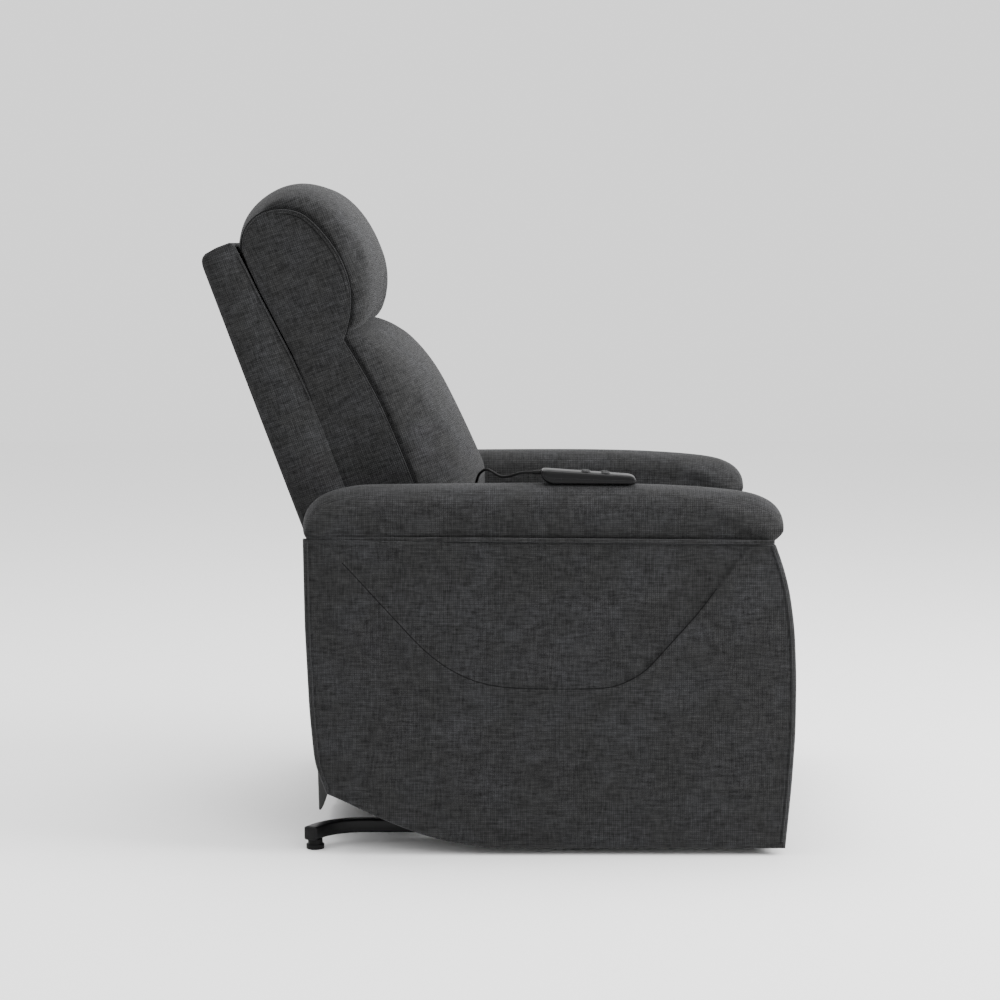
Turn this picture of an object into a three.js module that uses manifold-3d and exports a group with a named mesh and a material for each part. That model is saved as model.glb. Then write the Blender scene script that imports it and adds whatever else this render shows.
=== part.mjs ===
// Power lift recliner armchair: padded arms and back on a steel lift base.
// Millimetres. +X front, +Y the sitter's left, +Z up, floor at z = 0.
import * as THREE from 'three';
import { mergeVertices } from 'three/addons/utils/BufferGeometryUtils.js';
import Module from 'manifold-3d';

const wasm = await Module();
wasm.setup();

const GAP = 0.3;

// ---- driving dimensions -------------------------------------------------------------------
const ARM = { panelIn: 374, panelOut: 395, innerIn: 265, innerOut: 283, padIn: 262, padOut: 402 };
const ARM_TOP = 606;
const PAD_MID = 332;
const PAD_HALF = 70;
const PAD_DROP = 56;
const PAD_LINE = [[-313, 522], [452, 512]];
const FRONT_EDGE = [[469, 11], [479, 111], [486, 227], [487, 292], [481, 375], [469, 440], [450, 509]];
const INNER_BOTTOM = 110;
const POST_THICK = 25;

const BACK = { x: -323, z: 521, lean: 20.4, low: -138, shellHalf: 258, cushionHalf: 255, wall: 6 };
const SEAT = { rear: -100, front: 482, bottom: 355, half: 255 };

const RAIL = { size: 22, wall: 2, low: 17, y: 291.5, front: 335, bendX: -220, bend: 91, turn: 62, tail: 18 };
const CROSS = { front: 300, rear: -189 };

// layers of the linkage, distances from the middle plane
const LAYER = { bracket: [208, 212], lift: [216, 220], guide: [224, 228], plate: [232, 236],
  thigh: [240, 244], shin: [246, 250] };

// pivots in the side plane (x, z)
const LIFT_BASE = [250, 130];
const LIFT_CHAIR = [-80, 160];
const GUIDE_BASE = [296.5, 114.1];
const GUIDE_CHAIR = [60, 130];
const RECLINE = [-200, 395];
const LIFT_MOTOR = [-189, 62];
const RECLINE_MOTOR = [190, 280];
const RECLINE_Y = 70;
const LIFT_HORN = { arm: 50, angle: 120 };
const RECLINE_HORN = { arm: 80, angle: -108 };
const LIFT_RETRACTED = 428.7;
const RECLINE_RETRACTED = 368.6;

// footrest double parallelogram
const THIGH = 205;
const SHIN = 190;
const SHIN_ANGLE = 35;
const THIGH_ANGLE = -100;
const SIDE_STEP = 45;
const FOOT_STEP = 60;

const PIN = 5;
const STUD = 6;
const FIT = 0.4;
const GUIDE_PLAY = 1.5;

// ---- small helpers ------------------------------------------------------------------------
const rad = THREE.MathUtils.degToRad;
const polar = (p, length, degrees) => [p[0] + length * Math.cos(rad(degrees)), p[1] + length * Math.sin(rad(degrees))];
const SIDES = [['left', 1], ['right', -1]];
const XZ = new THREE.Matrix4().makeBasis(
  new THREE.Vector3(1, 0, 0), new THREE.Vector3(0, 0, 1), new THREE.Vector3(0, -1, 0));

const THIGH_TOP = [300, 308];
const KNEE = polar(THIGH_TOP, THIGH, THIGH_ANGLE);
const ANKLE = polar(KNEE, SHIN, SHIN_ANGLE);
const THIGH_TOP_2 = polar(THIGH_TOP, SIDE_STEP, SHIN_ANGLE);
const SHIN_MID = polar(KNEE, SIDE_STEP, SHIN_ANGLE);
const KNEE_2 = polar(KNEE, FOOT_STEP, THIGH_ANGLE + 180);
const ANKLE_2 = polar(ANKLE, FOOT_STEP, THIGH_ANGLE + 180);

const solid = (geometry) => {
  const bare = geometry.clone();
  bare.deleteAttribute('normal');
  bare.deleteAttribute('uv');
  const merged = mergeVertices(bare, 1e-4);
  return new wasm.Manifold(new wasm.Mesh({
    numProp: 3,
    vertProperties: new Float32Array(merged.attributes.position.array),
    triVerts: new Uint32Array(merged.index.array),
  }));
};

const geometryOf = (body) => {
  const mesh = body.getMesh();
  const geometry = new THREE.BufferGeometry();
  geometry.setAttribute('position', new THREE.BufferAttribute(new Float32Array(mesh.vertProperties), 3));
  geometry.setIndex(new THREE.BufferAttribute(new Uint32Array(mesh.triVerts), 1));
  geometry.computeVertexNormals();
  return geometry;
};

const join = (...parts) => geometryOf(parts.map(solid).reduce((a, b) => a.add(b)));
const cut = (body, ...tools) => geometryOf(tools.map(solid).reduce((a, b) => a.subtract(b), solid(body)));

const box = (x0, x1, y0, y1, z0, z1) => new THREE.BoxGeometry(
  Math.abs(x1 - x0), Math.abs(y1 - y0), Math.abs(z1 - z0)).translate((x0 + x1) / 2, (y0 + y1) / 2, (z0 + z1) / 2);

const rodY = ([x, z], radius, y0, y1, sides = 12) => new THREE.CylinderGeometry(
  radius, radius, Math.abs(y1 - y0), sides).translate(x, (y0 + y1) / 2, z);

const rodX = (x0, x1, radius, sides = 16) => new THREE.CylinderGeometry(radius, radius, x1 - x0, sides)
  .rotateZ(-Math.PI / 2).translate((x0 + x1) / 2, 0, 0);

const rodZ = (x, y, z0, z1, radius, sides = 16) => new THREE.CylinderGeometry(radius, radius, z1 - z0, sides)
  .rotateX(Math.PI / 2).translate(x, y, (z0 + z1) / 2);

/** Outline in the side plane: pairs are corners, six numbers are a curve to its last pair. */
const outline = (...steps) => {
  const shape = new THREE.Shape();
  shape.moveTo(...steps[0]);
  for (const step of steps.slice(1)) {
    if (step.length === 2) shape.lineTo(...step);
    else shape.bezierCurveTo(...step);
  }
  shape.closePath();
  return shape;
};

/** Extrudes a side-plane outline across the chair between two y values. */
const across = (shape, y0, y1, steps = 1, curveSegments = 8) => new THREE.ExtrudeGeometry(
  shape, { depth: Math.abs(y1 - y0), bevelEnabled: false, steps, curveSegments })
  .applyMatrix4(XZ).translate(0, Math.max(y0, y1), 0);

/** Round-ended link bar between two pivots. */
const linkShape = (from, to, half) => {
  const angle = Math.atan2(to[1] - from[1], to[0] - from[0]);
  const shape = new THREE.Shape();
  shape.absarc(to[0], to[1], half, angle - Math.PI / 2, angle + Math.PI / 2);
  shape.absarc(from[0], from[1], half, angle + Math.PI / 2, angle + 1.5 * Math.PI);
  shape.closePath();
  return shape;
};

/** Flat plate between two y values, drilled at each [point, radius]. */
const plate = (shape, [y0, y1], holes) => cut(across(shape, y0, y1),
  ...holes.map(([point, radius]) => rodY(point, radius, Math.min(y0, y1) - 1, Math.max(y0, y1) + 1)));

/** Moves every vertex of a geometry with the same rule. */
const shaped = (geometry, rule) => {
  const place = geometry.attributes.position;
  const point = new THREE.Vector3();
  for (let i = 0; i < place.count; i += 1) {
    point.fromBufferAttribute(place, i);
    rule(point);
    place.setXYZ(i, point.x, point.y, point.z);
  }
  geometry.computeVertexNormals();
  return geometry;
};

const clamp01 = (value) => Math.min(1, Math.max(0, value));
const lineAt = ([[x0, z0], [x1, z1]], x) => z0 + (z1 - z0) * (x - x0) / (x1 - x0);
const layer = (side, [inner, outer]) => [side * inner, side * outer];

/** A pin head and shank on one side, measured outward from the middle plane. */
const stud = (side, point, radius, shank, head, headRadius) => [
  rodY(point, radius, side * shank[0], side * shank[1]),
  rodY(point, headRadius, side * head[0], side * head[1]),
];

const FINISH = {
  fabric: { color: 0x45474b, roughness: 0.95, metalness: 0 },
  blackCloth: { color: 0x17181a, roughness: 0.95, metalness: 0 },
  blackSteel: { color: 0x1c1d1f, roughness: 0.45, metalness: 0.6 },
  steel: { color: 0x8b8e92, roughness: 0.35, metalness: 0.9 },
  timber: { color: 0xb08a5c, roughness: 0.8, metalness: 0 },
  plastic: { color: 0x222326, roughness: 0.5, metalness: 0 },
  rubber: { color: 0x141414, roughness: 0.9, metalness: 0 },
};

const group = new THREE.Group();
const add = (name, geometry, finish) => {
  const mesh = new THREE.Mesh(geometry, new THREE.MeshStandardMaterial(FINISH[finish]));
  mesh.name = name;
  group.add(mesh);
};

const leanBack = (geometry) => geometry.rotateY(-rad(BACK.lean)).translate(BACK.x, 0, BACK.z);
const alongBar = (geometry, [x, z], angle, y = 0) => geometry.rotateY(-angle).translate(x, y, z);

// ---- lift base ----------------------------------------------------------------------------
/** Plan outline of one base rail, `inset` inside its outer faces; the rear end turns outward. */
const railPlan = (side, inset, front, tail) => {
  const near = RAIL.size / 2 - inset;
  const turn = rad(RAIL.turn);
  const shape = new THREE.Shape();
  const centre = [RAIL.bendX, side * (RAIL.y + RAIL.bend)];
  const tailEnd = (radius) => [centre[0] - radius * Math.sin(turn) - tail * Math.cos(turn),
    centre[1] - side * (radius * Math.cos(turn) - tail * Math.sin(turn))];
  const inner = RAIL.bend - near;
  const outer = RAIL.bend + near;
  const from = -side * Math.PI / 2;
  const to = -side * (Math.PI / 2 + turn);
  shape.moveTo(front, side * (RAIL.y + near));
  shape.lineTo(RAIL.bendX, side * (RAIL.y + near));
  shape.absarc(...centre, inner, from, to, side > 0);
  shape.lineTo(...tailEnd(inner));
  shape.lineTo(...tailEnd(outer));
  shape.absarc(...centre, outer, to, from, side < 0);
  shape.lineTo(front, side * (RAIL.y - near));
  shape.closePath();
  return shape;
};

const flat = (shape, z0, z1, curveSegments = 8) => new THREE.ExtrudeGeometry(
  shape, { depth: z1 - z0, bevelEnabled: false, curveSegments }).translate(0, 0, z0);

const GLIDES = { front: [RAIL.front - 17, RAIL.y], rear: [-300.3, 339.8] };
const railTop = RAIL.low + RAIL.size;

for (const [name, side] of SIDES) {
  const rail = flat(railPlan(side, 0, RAIL.front, RAIL.tail), RAIL.low, railTop);
  const hollow = flat(railPlan(side, RAIL.wall, RAIL.front + 1, RAIL.tail - 3),
    RAIL.low + RAIL.wall, railTop - RAIL.wall);
  const holes = Object.values(GLIDES).map(([x, y]) => rodZ(x, side * y, RAIL.low - 1, RAIL.low + 5, 4.4, 12));
  add(`base_rail_${name}`, cut(rail, hollow, ...holes), 'blackSteel');
  for (const [end, [x, y]] of Object.entries(GLIDES)) {
    const profile = [[0, 0], [14, 0], [15, 1.5], [15, 8], [12, 10], [12, 16.6], [4, 16.6], [4, 30], [0, 30]]
      .map(([r, z]) => new THREE.Vector2(r, z));
    add(`glide_${end}_${name}`,
      new THREE.LatheGeometry(profile, 20).rotateX(Math.PI / 2).translate(x, side * y, 0), 'rubber');
  }
}

const crossHalf = RAIL.y - RAIL.size / 2 - GAP;
const crossBar = (x) => cut(box(x - 11, x + 11, -crossHalf, crossHalf, RAIL.low, railTop),
  box(x - 9, x + 9, -crossHalf - 1, crossHalf + 1, RAIL.low + 2, railTop - 2));
add('base_front_crossbar', crossBar(CROSS.front), 'blackSteel');

const ears = (point, y, from, half) => [-1, 1].map((s) => across(
  outline([point[0] - half, from], [point[0] - half, point[1]], [point[0], point[1] + half * 0.9],
    [point[0] + half, point[1]], [point[0] + half, from]), y + s * 8, y + s * 12));
add('base_rear_crossbar', join(crossBar(CROSS.rear), ...ears(LIFT_MOTOR, 0, railTop - 1, 11),
  rodY(LIFT_MOTOR, PIN, -12, 12)), 'blackSteel');

for (const [name, side] of SIDES) {
  const shape = outline([289, railTop + GAP], [311, railTop + GAP], [314, 104], [309, 126], [296, 134],
    [268, 150], [240, 150], [231, 138], [231, 120], [262, 94], [280, 70]);
  const foot = box(289, 311, side * 186, side * 209, railTop + GAP, railTop + 4);
  add(`base_bracket_${name}`, join(plate(shape, layer(side, LAYER.bracket), [[LIFT_BASE, 8 + FIT]]), foot,
    ...stud(side, GUIDE_BASE, STUD, [211, 229], [228.4, 230.6], 9)), 'blackSteel');
}

// ---- lift linkage -------------------------------------------------------------------------
const liftPin = polar(LIFT_BASE, LIFT_HORN.arm, LIFT_HORN.angle);
const horn = (centre, pin, y, half) => [-1, 1].map((s) => across(
  linkShape(centre, pin, half), y + s * 10, y + s * 14));
add('lift_torque_tube', join(rodY(LIFT_BASE, 15, -207.6, 207.6, 20), rodY(LIFT_BASE, 8, -222.5, 222.5),
  ...horn(LIFT_BASE, liftPin, 0, 12), rodY(liftPin, PIN, -14, 14)), 'blackSteel');

for (const [name, side] of SIDES) {
  add(`lift_arm_${name}`, plate(linkShape(LIFT_BASE, LIFT_CHAIR, 17), layer(side, LAYER.lift),
    [[LIFT_BASE, 8 + FIT], [LIFT_CHAIR, STUD + FIT]]), 'blackSteel');
  add(`guide_link_${name}`, plate(linkShape(GUIDE_BASE, GUIDE_CHAIR, 12), layer(side, LAYER.guide),
    [[GUIDE_BASE, STUD + FIT], [GUIDE_CHAIR, STUD + GUIDE_PLAY]]), 'blackSteel');
}

/** Linear drive: eye, gearbox, motor can and outer tube along +X from its own pivot. */
const driveBody = (tubeEnd, boreStart, canSide) => cut(
  join(rodY([0, 0], 13, -7, 7), box(0, 24, -7, 7, -9, 9), box(20, 74, -30, 30, -24, 24),
    rodX(70, tubeEnd, 16), rodZ(47, 0, canSide > 0 ? 20 : -128, canSide > 0 ? 128 : -20, 27, 20)),
  rodY([0, 0], PIN + FIT, -8, 8), rodX(boreStart, tubeEnd + 1, 10.5));

/** Sliding rod with a clearance eye around the horn pin. */
const driveRod = (start, length, eye, hole) => cut(
  join(rodX(start, length - 11, 9), rodY([length, 0], eye, -7, 7)), rodY([length, 0], hole, -8, 8));

const reach = (from, to) => [Math.hypot(to[0] - from[0], to[1] - from[1]),
  Math.atan2(to[1] - from[1], to[0] - from[0])];
const [liftLength, liftAngle] = reach(LIFT_MOTOR, liftPin);
const liftTube = LIFT_RETRACTED - 28;
add('lift_motor', alongBar(driveBody(liftTube, liftTube - 110, 1), LIFT_MOTOR, liftAngle), 'plastic');
add('lift_spindle', alongBar(driveRod(liftTube - 84, liftLength, 15.5, 10), LIFT_MOTOR, liftAngle), 'steel');

// ---- seat frame ---------------------------------------------------------------------------
for (const [name, side] of SIDES) {
  const shape = outline([-218, 395], [-218, 405, -210, 413, -200, 413], [-190, 413, -182, 405, -182, 395],
    [-170, 348], [404, 348], [407, 345], [407, 302], [390, 292], [330, 292], [310, 287], [284, 290], [262, 268],
    [150, 262], [104, 190], [82, 124], [60, 108], [38, 112], [-70, 138], [-92, 140], [-104, 156], [-150, 250],
    [-212, 290]);
  const standoffs = [[-150, 300], [0, 300], [150, 318], [392, 325]].map((point) => (
    point[0] > 300
      ? box(383, 407, side * 235, side * 264.7, 338.5, 347.8)
      : box(point[0] - 14, point[0] + 14, side * 235, side * 264.7, point[1] - 14, point[1] + 14)));
  add(`side_plate_${name}`, join(plate(shape, layer(side, LAYER.plate), [[THIGH_TOP, 9 + FIT], [RECLINE, 8 + FIT]]), ...standoffs,
    ...stud(side, LIFT_CHAIR, STUD, [215, 233], [213, 215.7], 9),
    ...stud(side, GUIDE_CHAIR, STUD, [223, 233], [221, 223.7], 9),
    ...stud(side, THIGH_TOP_2, STUD - 1, [235, 245], [244.3, 245.7], 8)), 'blackSteel');
}

const frameHalf = LAYER.plate[0] - GAP;
add('front_rail', cut(box(385, 407, -frameHalf, frameHalf, 300, 350),
  box(387, 405, -frameHalf - 1, frameHalf + 1, 302, 348)), 'blackSteel');
add('rear_bar', box(-140, -118, -frameHalf, frameHalf, 332, 350), 'blackSteel');
add('motor_bar', join(box(180, 200, -frameHalf, frameHalf, 312, 332),
  ...[-1, 1].map((s) => across(outline([179, 313], [179, 280], [183, 271], [197, 271], [201, 280], [201, 313]),
    RECLINE_Y + s * 8, RECLINE_Y + s * 12)), rodY(RECLINE_MOTOR, PIN, RECLINE_Y - 12, RECLINE_Y + 12)), 'blackSteel');
add('rear_rail', box(-300, -282, -ARM.innerIn + GAP, ARM.innerIn - GAP, 285, 345), 'timber');

/** Flat zigzag spring of round-cornered loops between the two bars. */
const zigzag = (y) => {
  const amplitude = 17;
  const pitch = 65.6;
  const loops = 8;
  const half = 1.9;
  const start = -129;
  const upper = [];
  const lower = [];
  const centre = [];
  for (let i = 0; i < loops; i += 1) {
    const x = start + i * pitch;
    centre.push([x + 2, 0], [x + 12, amplitude], [x + 26, amplitude], [x + 40, -amplitude], [x + 54, -amplitude]);
  }
  centre.push([start + loops * pitch, 0]);
  centre.forEach(([x, offset], i) => {
    const [ax, ay] = centre[Math.max(0, i - 1)];
    const [bx, by] = centre[Math.min(centre.length - 1, i + 1)];
    const length = Math.hypot(bx - ax, by - ay);
    const n = [-(by - ay) / length * half, (bx - ax) / length * half];
    upper.push([x + n[0], y + offset + n[1]]);
    lower.unshift([x - n[0], y + offset - n[1]]);
  });
  return flat(outline(...lower, ...upper), 350.6, 354.2);
};
add('seat_springs', join(...[-180, -90, 0, 90, 180].map(zigzag),
  ...[20, 230].map((x) => box(x, x + 4, -200, 200, 350.6, 354.2))), 'steel');

add('control_box', join(box(-60, 90, -frameHalf, -150, 285, 335),
  box(-40, 70, -152, -144, 296, 324)), 'plastic');

// ---- seat, arms ---------------------------------------------------------------------------
const seatShape = outline([SEAT.rear, 360], [SEAT.rear + 8, SEAT.bottom], [SEAT.front - 24, SEAT.bottom],
  [SEAT.front, SEAT.bottom, SEAT.front, 366, SEAT.front, 380], [488, 410, 484, 455, 466, 472],
  [456, 484, 440, 487, 420, 486], [300, 482, 100, 466, SEAT.rear + 22, 449],
  [SEAT.rear + 6, 447, SEAT.rear, 438, SEAT.rear, 424]);
add('seat_cushion', shaped(across(seatShape, -SEAT.half, SEAT.half, 10), (p) => {
  const side = Math.abs(p.y / SEAT.half) ** 4;
  p.z -= 26 * side * clamp01((p.z - SEAT.bottom) / 120);
  p.x -= 10 * side * clamp01((p.x - 400) / 80);
}), 'fabric');

const frontAt = (z) => {
  const k = FRONT_EDGE.findIndex((p) => p[1] >= z);
  if (k <= 0) return k === 0 ? FRONT_EDGE[0][0] : FRONT_EDGE.at(-1)[0];
  const [[x0, z0], [x1, z1]] = [FRONT_EDGE[k - 1], FRONT_EDGE[k]];
  return x0 + (x1 - x0) * (z - z0) / (z1 - z0);
};
const padLine = (x) => lineAt(PAD_LINE, x);

const panelShape = outline([-312, padLine(-312) - 0.5], [-307, 391], [-298, 260], [-291, 152], [-278, 102],
  [-200, 70, -120, 11, 30, 11], ...FRONT_EDGE, [450, padLine(450) - 0.5]);
const frontOffset = (inset, low) => FRONT_EDGE.map(([x, z]) => [x - inset, Math.max(z, low)]);
const innerShape = outline([-300, padLine(-300) - 0.5], [-300, INNER_BOTTOM],
  [frontAt(INNER_BOTTOM) - POST_THICK - 1, INNER_BOTTOM],
  ...frontOffset(POST_THICK + 1, 0).slice(2), [424, padLine(424) - 0.5]);
const postShape = outline(...frontOffset(0.5, 11), [450 - 0.5, padLine(450) - 0.6],
  [450 - POST_THICK, padLine(425) - 0.6], ...frontOffset(POST_THICK, 11).reverse());
const padShape = outline([-313, 522], [452, 512], [452, 525, 465, 530, 465, 545], [465, 572, 440, 583, 400, 589],
  [330, 600, 260, ARM_TOP, 120, ARM_TOP], [-207, ARM_TOP], [-270, ARM_TOP, -322, 590, -319, 550]);

for (const [name, side] of SIDES) {
  add(`arm_outer_panel_${name}`, across(panelShape, side * ARM.panelIn, side * ARM.panelOut), 'fabric');
  add(`arm_inner_panel_${name}`, across(innerShape, side * ARM.innerIn, side * ARM.innerOut), 'fabric');
  add(`arm_front_post_${name}`, across(postShape, side * (ARM.innerOut + GAP), side * (ARM.panelIn - GAP)), 'fabric');
  add(`arm_pad_${name}`, shaped(across(padShape, side * ARM.padIn, side * ARM.padOut, 12), (p) => {
    const drop = PAD_DROP * (Math.abs(Math.abs(p.y) - PAD_MID) / PAD_HALF) ** 2.5;
    p.z -= drop * clamp01((p.z - 522) / (ARM_TOP - 522));
  }), 'fabric');
}

// ---- back, in its own leaning frame: x forward, z up along the back -------------------------
const shellShape = outline([0, BACK.low], [88, BACK.low], [88, 128], [91, 277], [69, 471], [63, 481], [30, 489],
  [11.6, 484], [0, 470]);
const shellHollow = outline([BACK.wall, BACK.low + 6], [120, BACK.low + 6], [120, 466], [72, 466], [60, 475.5], [31, 482.5],
  [15.5, 478.5], [BACK.wall, 467]);
add('back_shell', leanBack(cut(across(shellShape, -BACK.shellHalf, BACK.shellHalf),
  across(shellHollow, -BACK.shellHalf + 5, BACK.shellHalf - 5))), 'fabric');

const backHalf = BACK.shellHalf - 5 - GAP * 3;
add('back_frame', leanBack(join(
  ...[-1, 1].map((s) => box(12, 34, s * backHalf, s * (backHalf - 30), -131, 455)),
  ...[-110, 70, 250, 430].map((z) => box(14, 32, -backHalf + 10, backHalf - 10, z, z + 25)))), 'timber');

const lumbarShape = outline([96, 274], [225, 274], [262, 262, 286, 200, 290, 120], [296, 60, 297, 0, 296, -46],
  [296, -90, 295, -110, 286, -122], [280, -130, 270, -130, 260, -130], [96, -130]);
add('lumbar_cushion', leanBack(shaped(across(lumbarShape, -BACK.cushionHalf, BACK.cushionHalf, 12), (p) => {
  const side = Math.abs(p.y / BACK.cushionHalf) ** 2.4;
  p.x -= 90 * side * clamp01((p.x - 110) / 186);
})), 'fabric');

const headShape = outline([60, 492], [60, 520, 105, 554, 165, 554], [232, 554, 274, 490, 274, 415],
  [274, 345, 258, 292, 232, 279], [205, 277, 185, 279, 165, 286], [96, 286], [76, 480]);
add('head_cushion', leanBack(shaped(across(headShape, -BACK.cushionHalf, BACK.cushionHalf, 12), (p) => {
  const side = Math.abs(p.y / BACK.cushionHalf) ** 2.6;
  p.x -= 55 * side * clamp01((p.x - 120) / 154);
  p.z -= 33 * side * clamp01((p.z - 470) / 84);
})), 'fabric');

const reclinePin = polar(RECLINE, RECLINE_HORN.arm, RECLINE_HORN.angle);
const yokeTop = leanBack(join(box(14, 84, -231, 231, BACK.low - 3.4, BACK.low - GAP),
  ...[-1, 1].map((s) => across(outline([14, BACK.low - 1], [52, -174], [84, -174], [84, BACK.low - 1]), s * 226,
    s * 230))));
add('recline_yoke', join(yokeTop, rodY(RECLINE, 10, -230, 230), rodY(RECLINE, 8, -238, 238),
  ...horn(RECLINE, reclinePin, RECLINE_Y, 12), rodY(reclinePin, PIN, RECLINE_Y - 14, RECLINE_Y + 14)), 'blackSteel');

const [reclineLength, reclineAngle] = reach(RECLINE_MOTOR, reclinePin);
const reclineTube = RECLINE_RETRACTED - 28;
add('recline_motor', alongBar(driveBody(reclineTube, reclineTube - 95, 1), RECLINE_MOTOR, reclineAngle, RECLINE_Y),
  'plastic');
add('recline_spindle', alongBar(driveRod(reclineTube - 34, reclineLength, 14, 8.2), RECLINE_MOTOR, reclineAngle,
  RECLINE_Y), 'steel');

// ---- footrest -----------------------------------------------------------------------------
const pinFit = PIN + FIT;
add('footrest_drive', join(rodY(THIGH_TOP, 9, -243, 243, 20),
  ...SIDES.map(([, side]) => plate(linkShape(THIGH_TOP, KNEE, 12), layer(side, LAYER.thigh),
    [[KNEE, pinFit], [KNEE_2, pinFit]]))), 'blackSteel');

const outerLink = (side, from, to, pins) => join(across(linkShape(from, to, 9), ...layer(side, LAYER.shin)),
  ...pins.flatMap((point) => stud(side, point, PIN, [238, 247], [236.8, 239.6], 8)));
for (const [name, side] of SIDES) {
  add(`parallel_thigh_link_${name}`, plate(linkShape(THIGH_TOP_2, SHIN_MID, 11), layer(side, LAYER.thigh),
    [[THIGH_TOP_2, pinFit], [SHIN_MID, pinFit]]), 'blackSteel');
  add(`shin_link_${name}`, outerLink(side, KNEE, ANKLE, [KNEE, SHIN_MID, ANKLE]), 'blackSteel');
  add(`parallel_shin_link_${name}`, outerLink(side, KNEE_2, ANKLE_2, [KNEE_2, ANKLE_2]), 'blackSteel');
  const shape = outline([439.7, 190], [439.7, 300], [428, 296], [414, 284], [403, 222], [406, 200], [420, 192]);
  add(`footrest_bracket_${name}`, join(plate(shape, layer(side, LAYER.thigh), [[ANKLE, pinFit], [ANKLE_2, pinFit]]),
    box(436, 439.7, side * 212, side * 243, 190, 262)), 'blackSteel');
}
add('footrest_board', box(440.2, 455, -252, 252, 62, 322), 'timber');
const footShape = outline([455.3, 58], [470, 58], [480, 58, 484, 66, 484, 80], [486, 150, 486, 240, 484, 306],
  [484, 320, 480, 328, 470, 328], [455.3, 328]);
add('footrest_pad', shaped(across(footShape, -256, 256, 8), (p) => {
  p.x -= 8 * Math.abs(p.y / 256) ** 5 * clamp01((p.x - 458) / 24);
}), 'fabric');

// ---- rear cover, handset and its lead -------------------------------------------------------
add('dust_cover', box(-302.4, -300.4, -259, 259, 46, 343), 'blackCloth');

const HANDSET = { x0: 73, x1: 228, y: -335, half: 24, bottom: 606.3 };
const HANDSET_SLOPE = 9.2 / 134;
const handsetTop = (x) => 632.2 - (x - 80) * HANDSET_SLOPE;
const slope = Math.atan(HANDSET_SLOPE);
const BUTTONS = [['raise', 146, -11], ['lower', 178, -11], ['recline', 146, 11], ['footrest', 178, 11]];
const buttonAt = (x, y, from, to, radius) => rodZ(0, 0, from, to, radius, 16).rotateY(slope)
  .translate(x, HANDSET.y + y, handsetTop(x));
const caseShape = outline([73, 620], [74, 615, 81, 609.5, 91, 606.3], [220, 606.3],
  [226, 606.3, 228, 609, 227.5, 613.5], [227, 619, 222, 622.4, 214, handsetTop(214)], [81, handsetTop(81)],
  [76, 632.4, 73, 631.8, 73, 629]);
add('handset_case', cut(across(caseShape, HANDSET.y - HANDSET.half, HANDSET.y + HANDSET.half, 1, 6),
  ...BUTTONS.map(([, x, y]) => buttonAt(x, y, -3.2, 4, 7.4))), 'plastic');
for (const [name, x, y] of BUTTONS) add(`handset_button_${name}`, buttonAt(x, y, -1.4, 1.8, 7), 'rubber');

add('cord_grommet', new THREE.CylinderGeometry(6, 7, 3.4, 16).translate(-38, -ARM.innerIn + 2, 482), 'rubber');
const cordPath = new THREE.CatmullRomCurve3([[-38, -260.6, 482], [-38, -252, 484], [-38, -247, 495],
  [-38, -246, 530], [-37, -250, 575], [-33.5, -266, 601.5], [-28, -281, 618], [-17, -296, 627], [-7, -305.5, 624],
  [3, -313.5, 618.8], [12, -320, 617.1], [23, -326, 619], [34, -331, 623], [46, -334, 625.8], [60, -335, 626],
  [72.7, -335, 626]]
  .map((p) => new THREE.Vector3(...p)), false, 'catmullrom', 0.5);
const cordSection = new THREE.Shape().absarc(0, 0, 2.25, 0, 2 * Math.PI);
add('handset_cord', new THREE.ExtrudeGeometry(cordSection,
  { extrudePath: cordPath, steps: 56, curveSegments: 4, bevelEnabled: false }), 'rubber');

export default group;
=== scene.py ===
"""Power lift recliner armchair: upholstery, steelwork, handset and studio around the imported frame.

Metres. +X to the front of the chair, +Y to the sitter's left, +Z up, floor at z = 0.
"""

import logging
import math
from dataclasses import dataclass, field
from enum import Enum
from typing import Any, Callable, Iterable, Optional, Sequence, Union

import bmesh
import bpy
import numpy as np
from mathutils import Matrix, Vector


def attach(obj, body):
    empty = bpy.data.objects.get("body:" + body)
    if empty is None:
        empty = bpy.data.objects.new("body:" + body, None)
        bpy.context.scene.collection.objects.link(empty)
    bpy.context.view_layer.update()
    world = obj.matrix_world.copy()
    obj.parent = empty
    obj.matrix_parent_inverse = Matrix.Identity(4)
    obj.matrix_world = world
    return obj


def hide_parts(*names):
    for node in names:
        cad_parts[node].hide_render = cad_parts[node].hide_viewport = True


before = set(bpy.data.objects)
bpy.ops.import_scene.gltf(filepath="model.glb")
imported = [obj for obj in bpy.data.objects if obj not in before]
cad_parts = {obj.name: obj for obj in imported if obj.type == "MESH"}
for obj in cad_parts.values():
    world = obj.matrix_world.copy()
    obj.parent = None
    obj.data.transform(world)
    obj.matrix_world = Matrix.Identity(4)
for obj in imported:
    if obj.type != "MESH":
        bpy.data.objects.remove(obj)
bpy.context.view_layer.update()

log = logging.getLogger("recliner")
Array = np.ndarray
MM = 0.001
SIDES = (("left", 1.0), ("right", -1.0))


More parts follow.
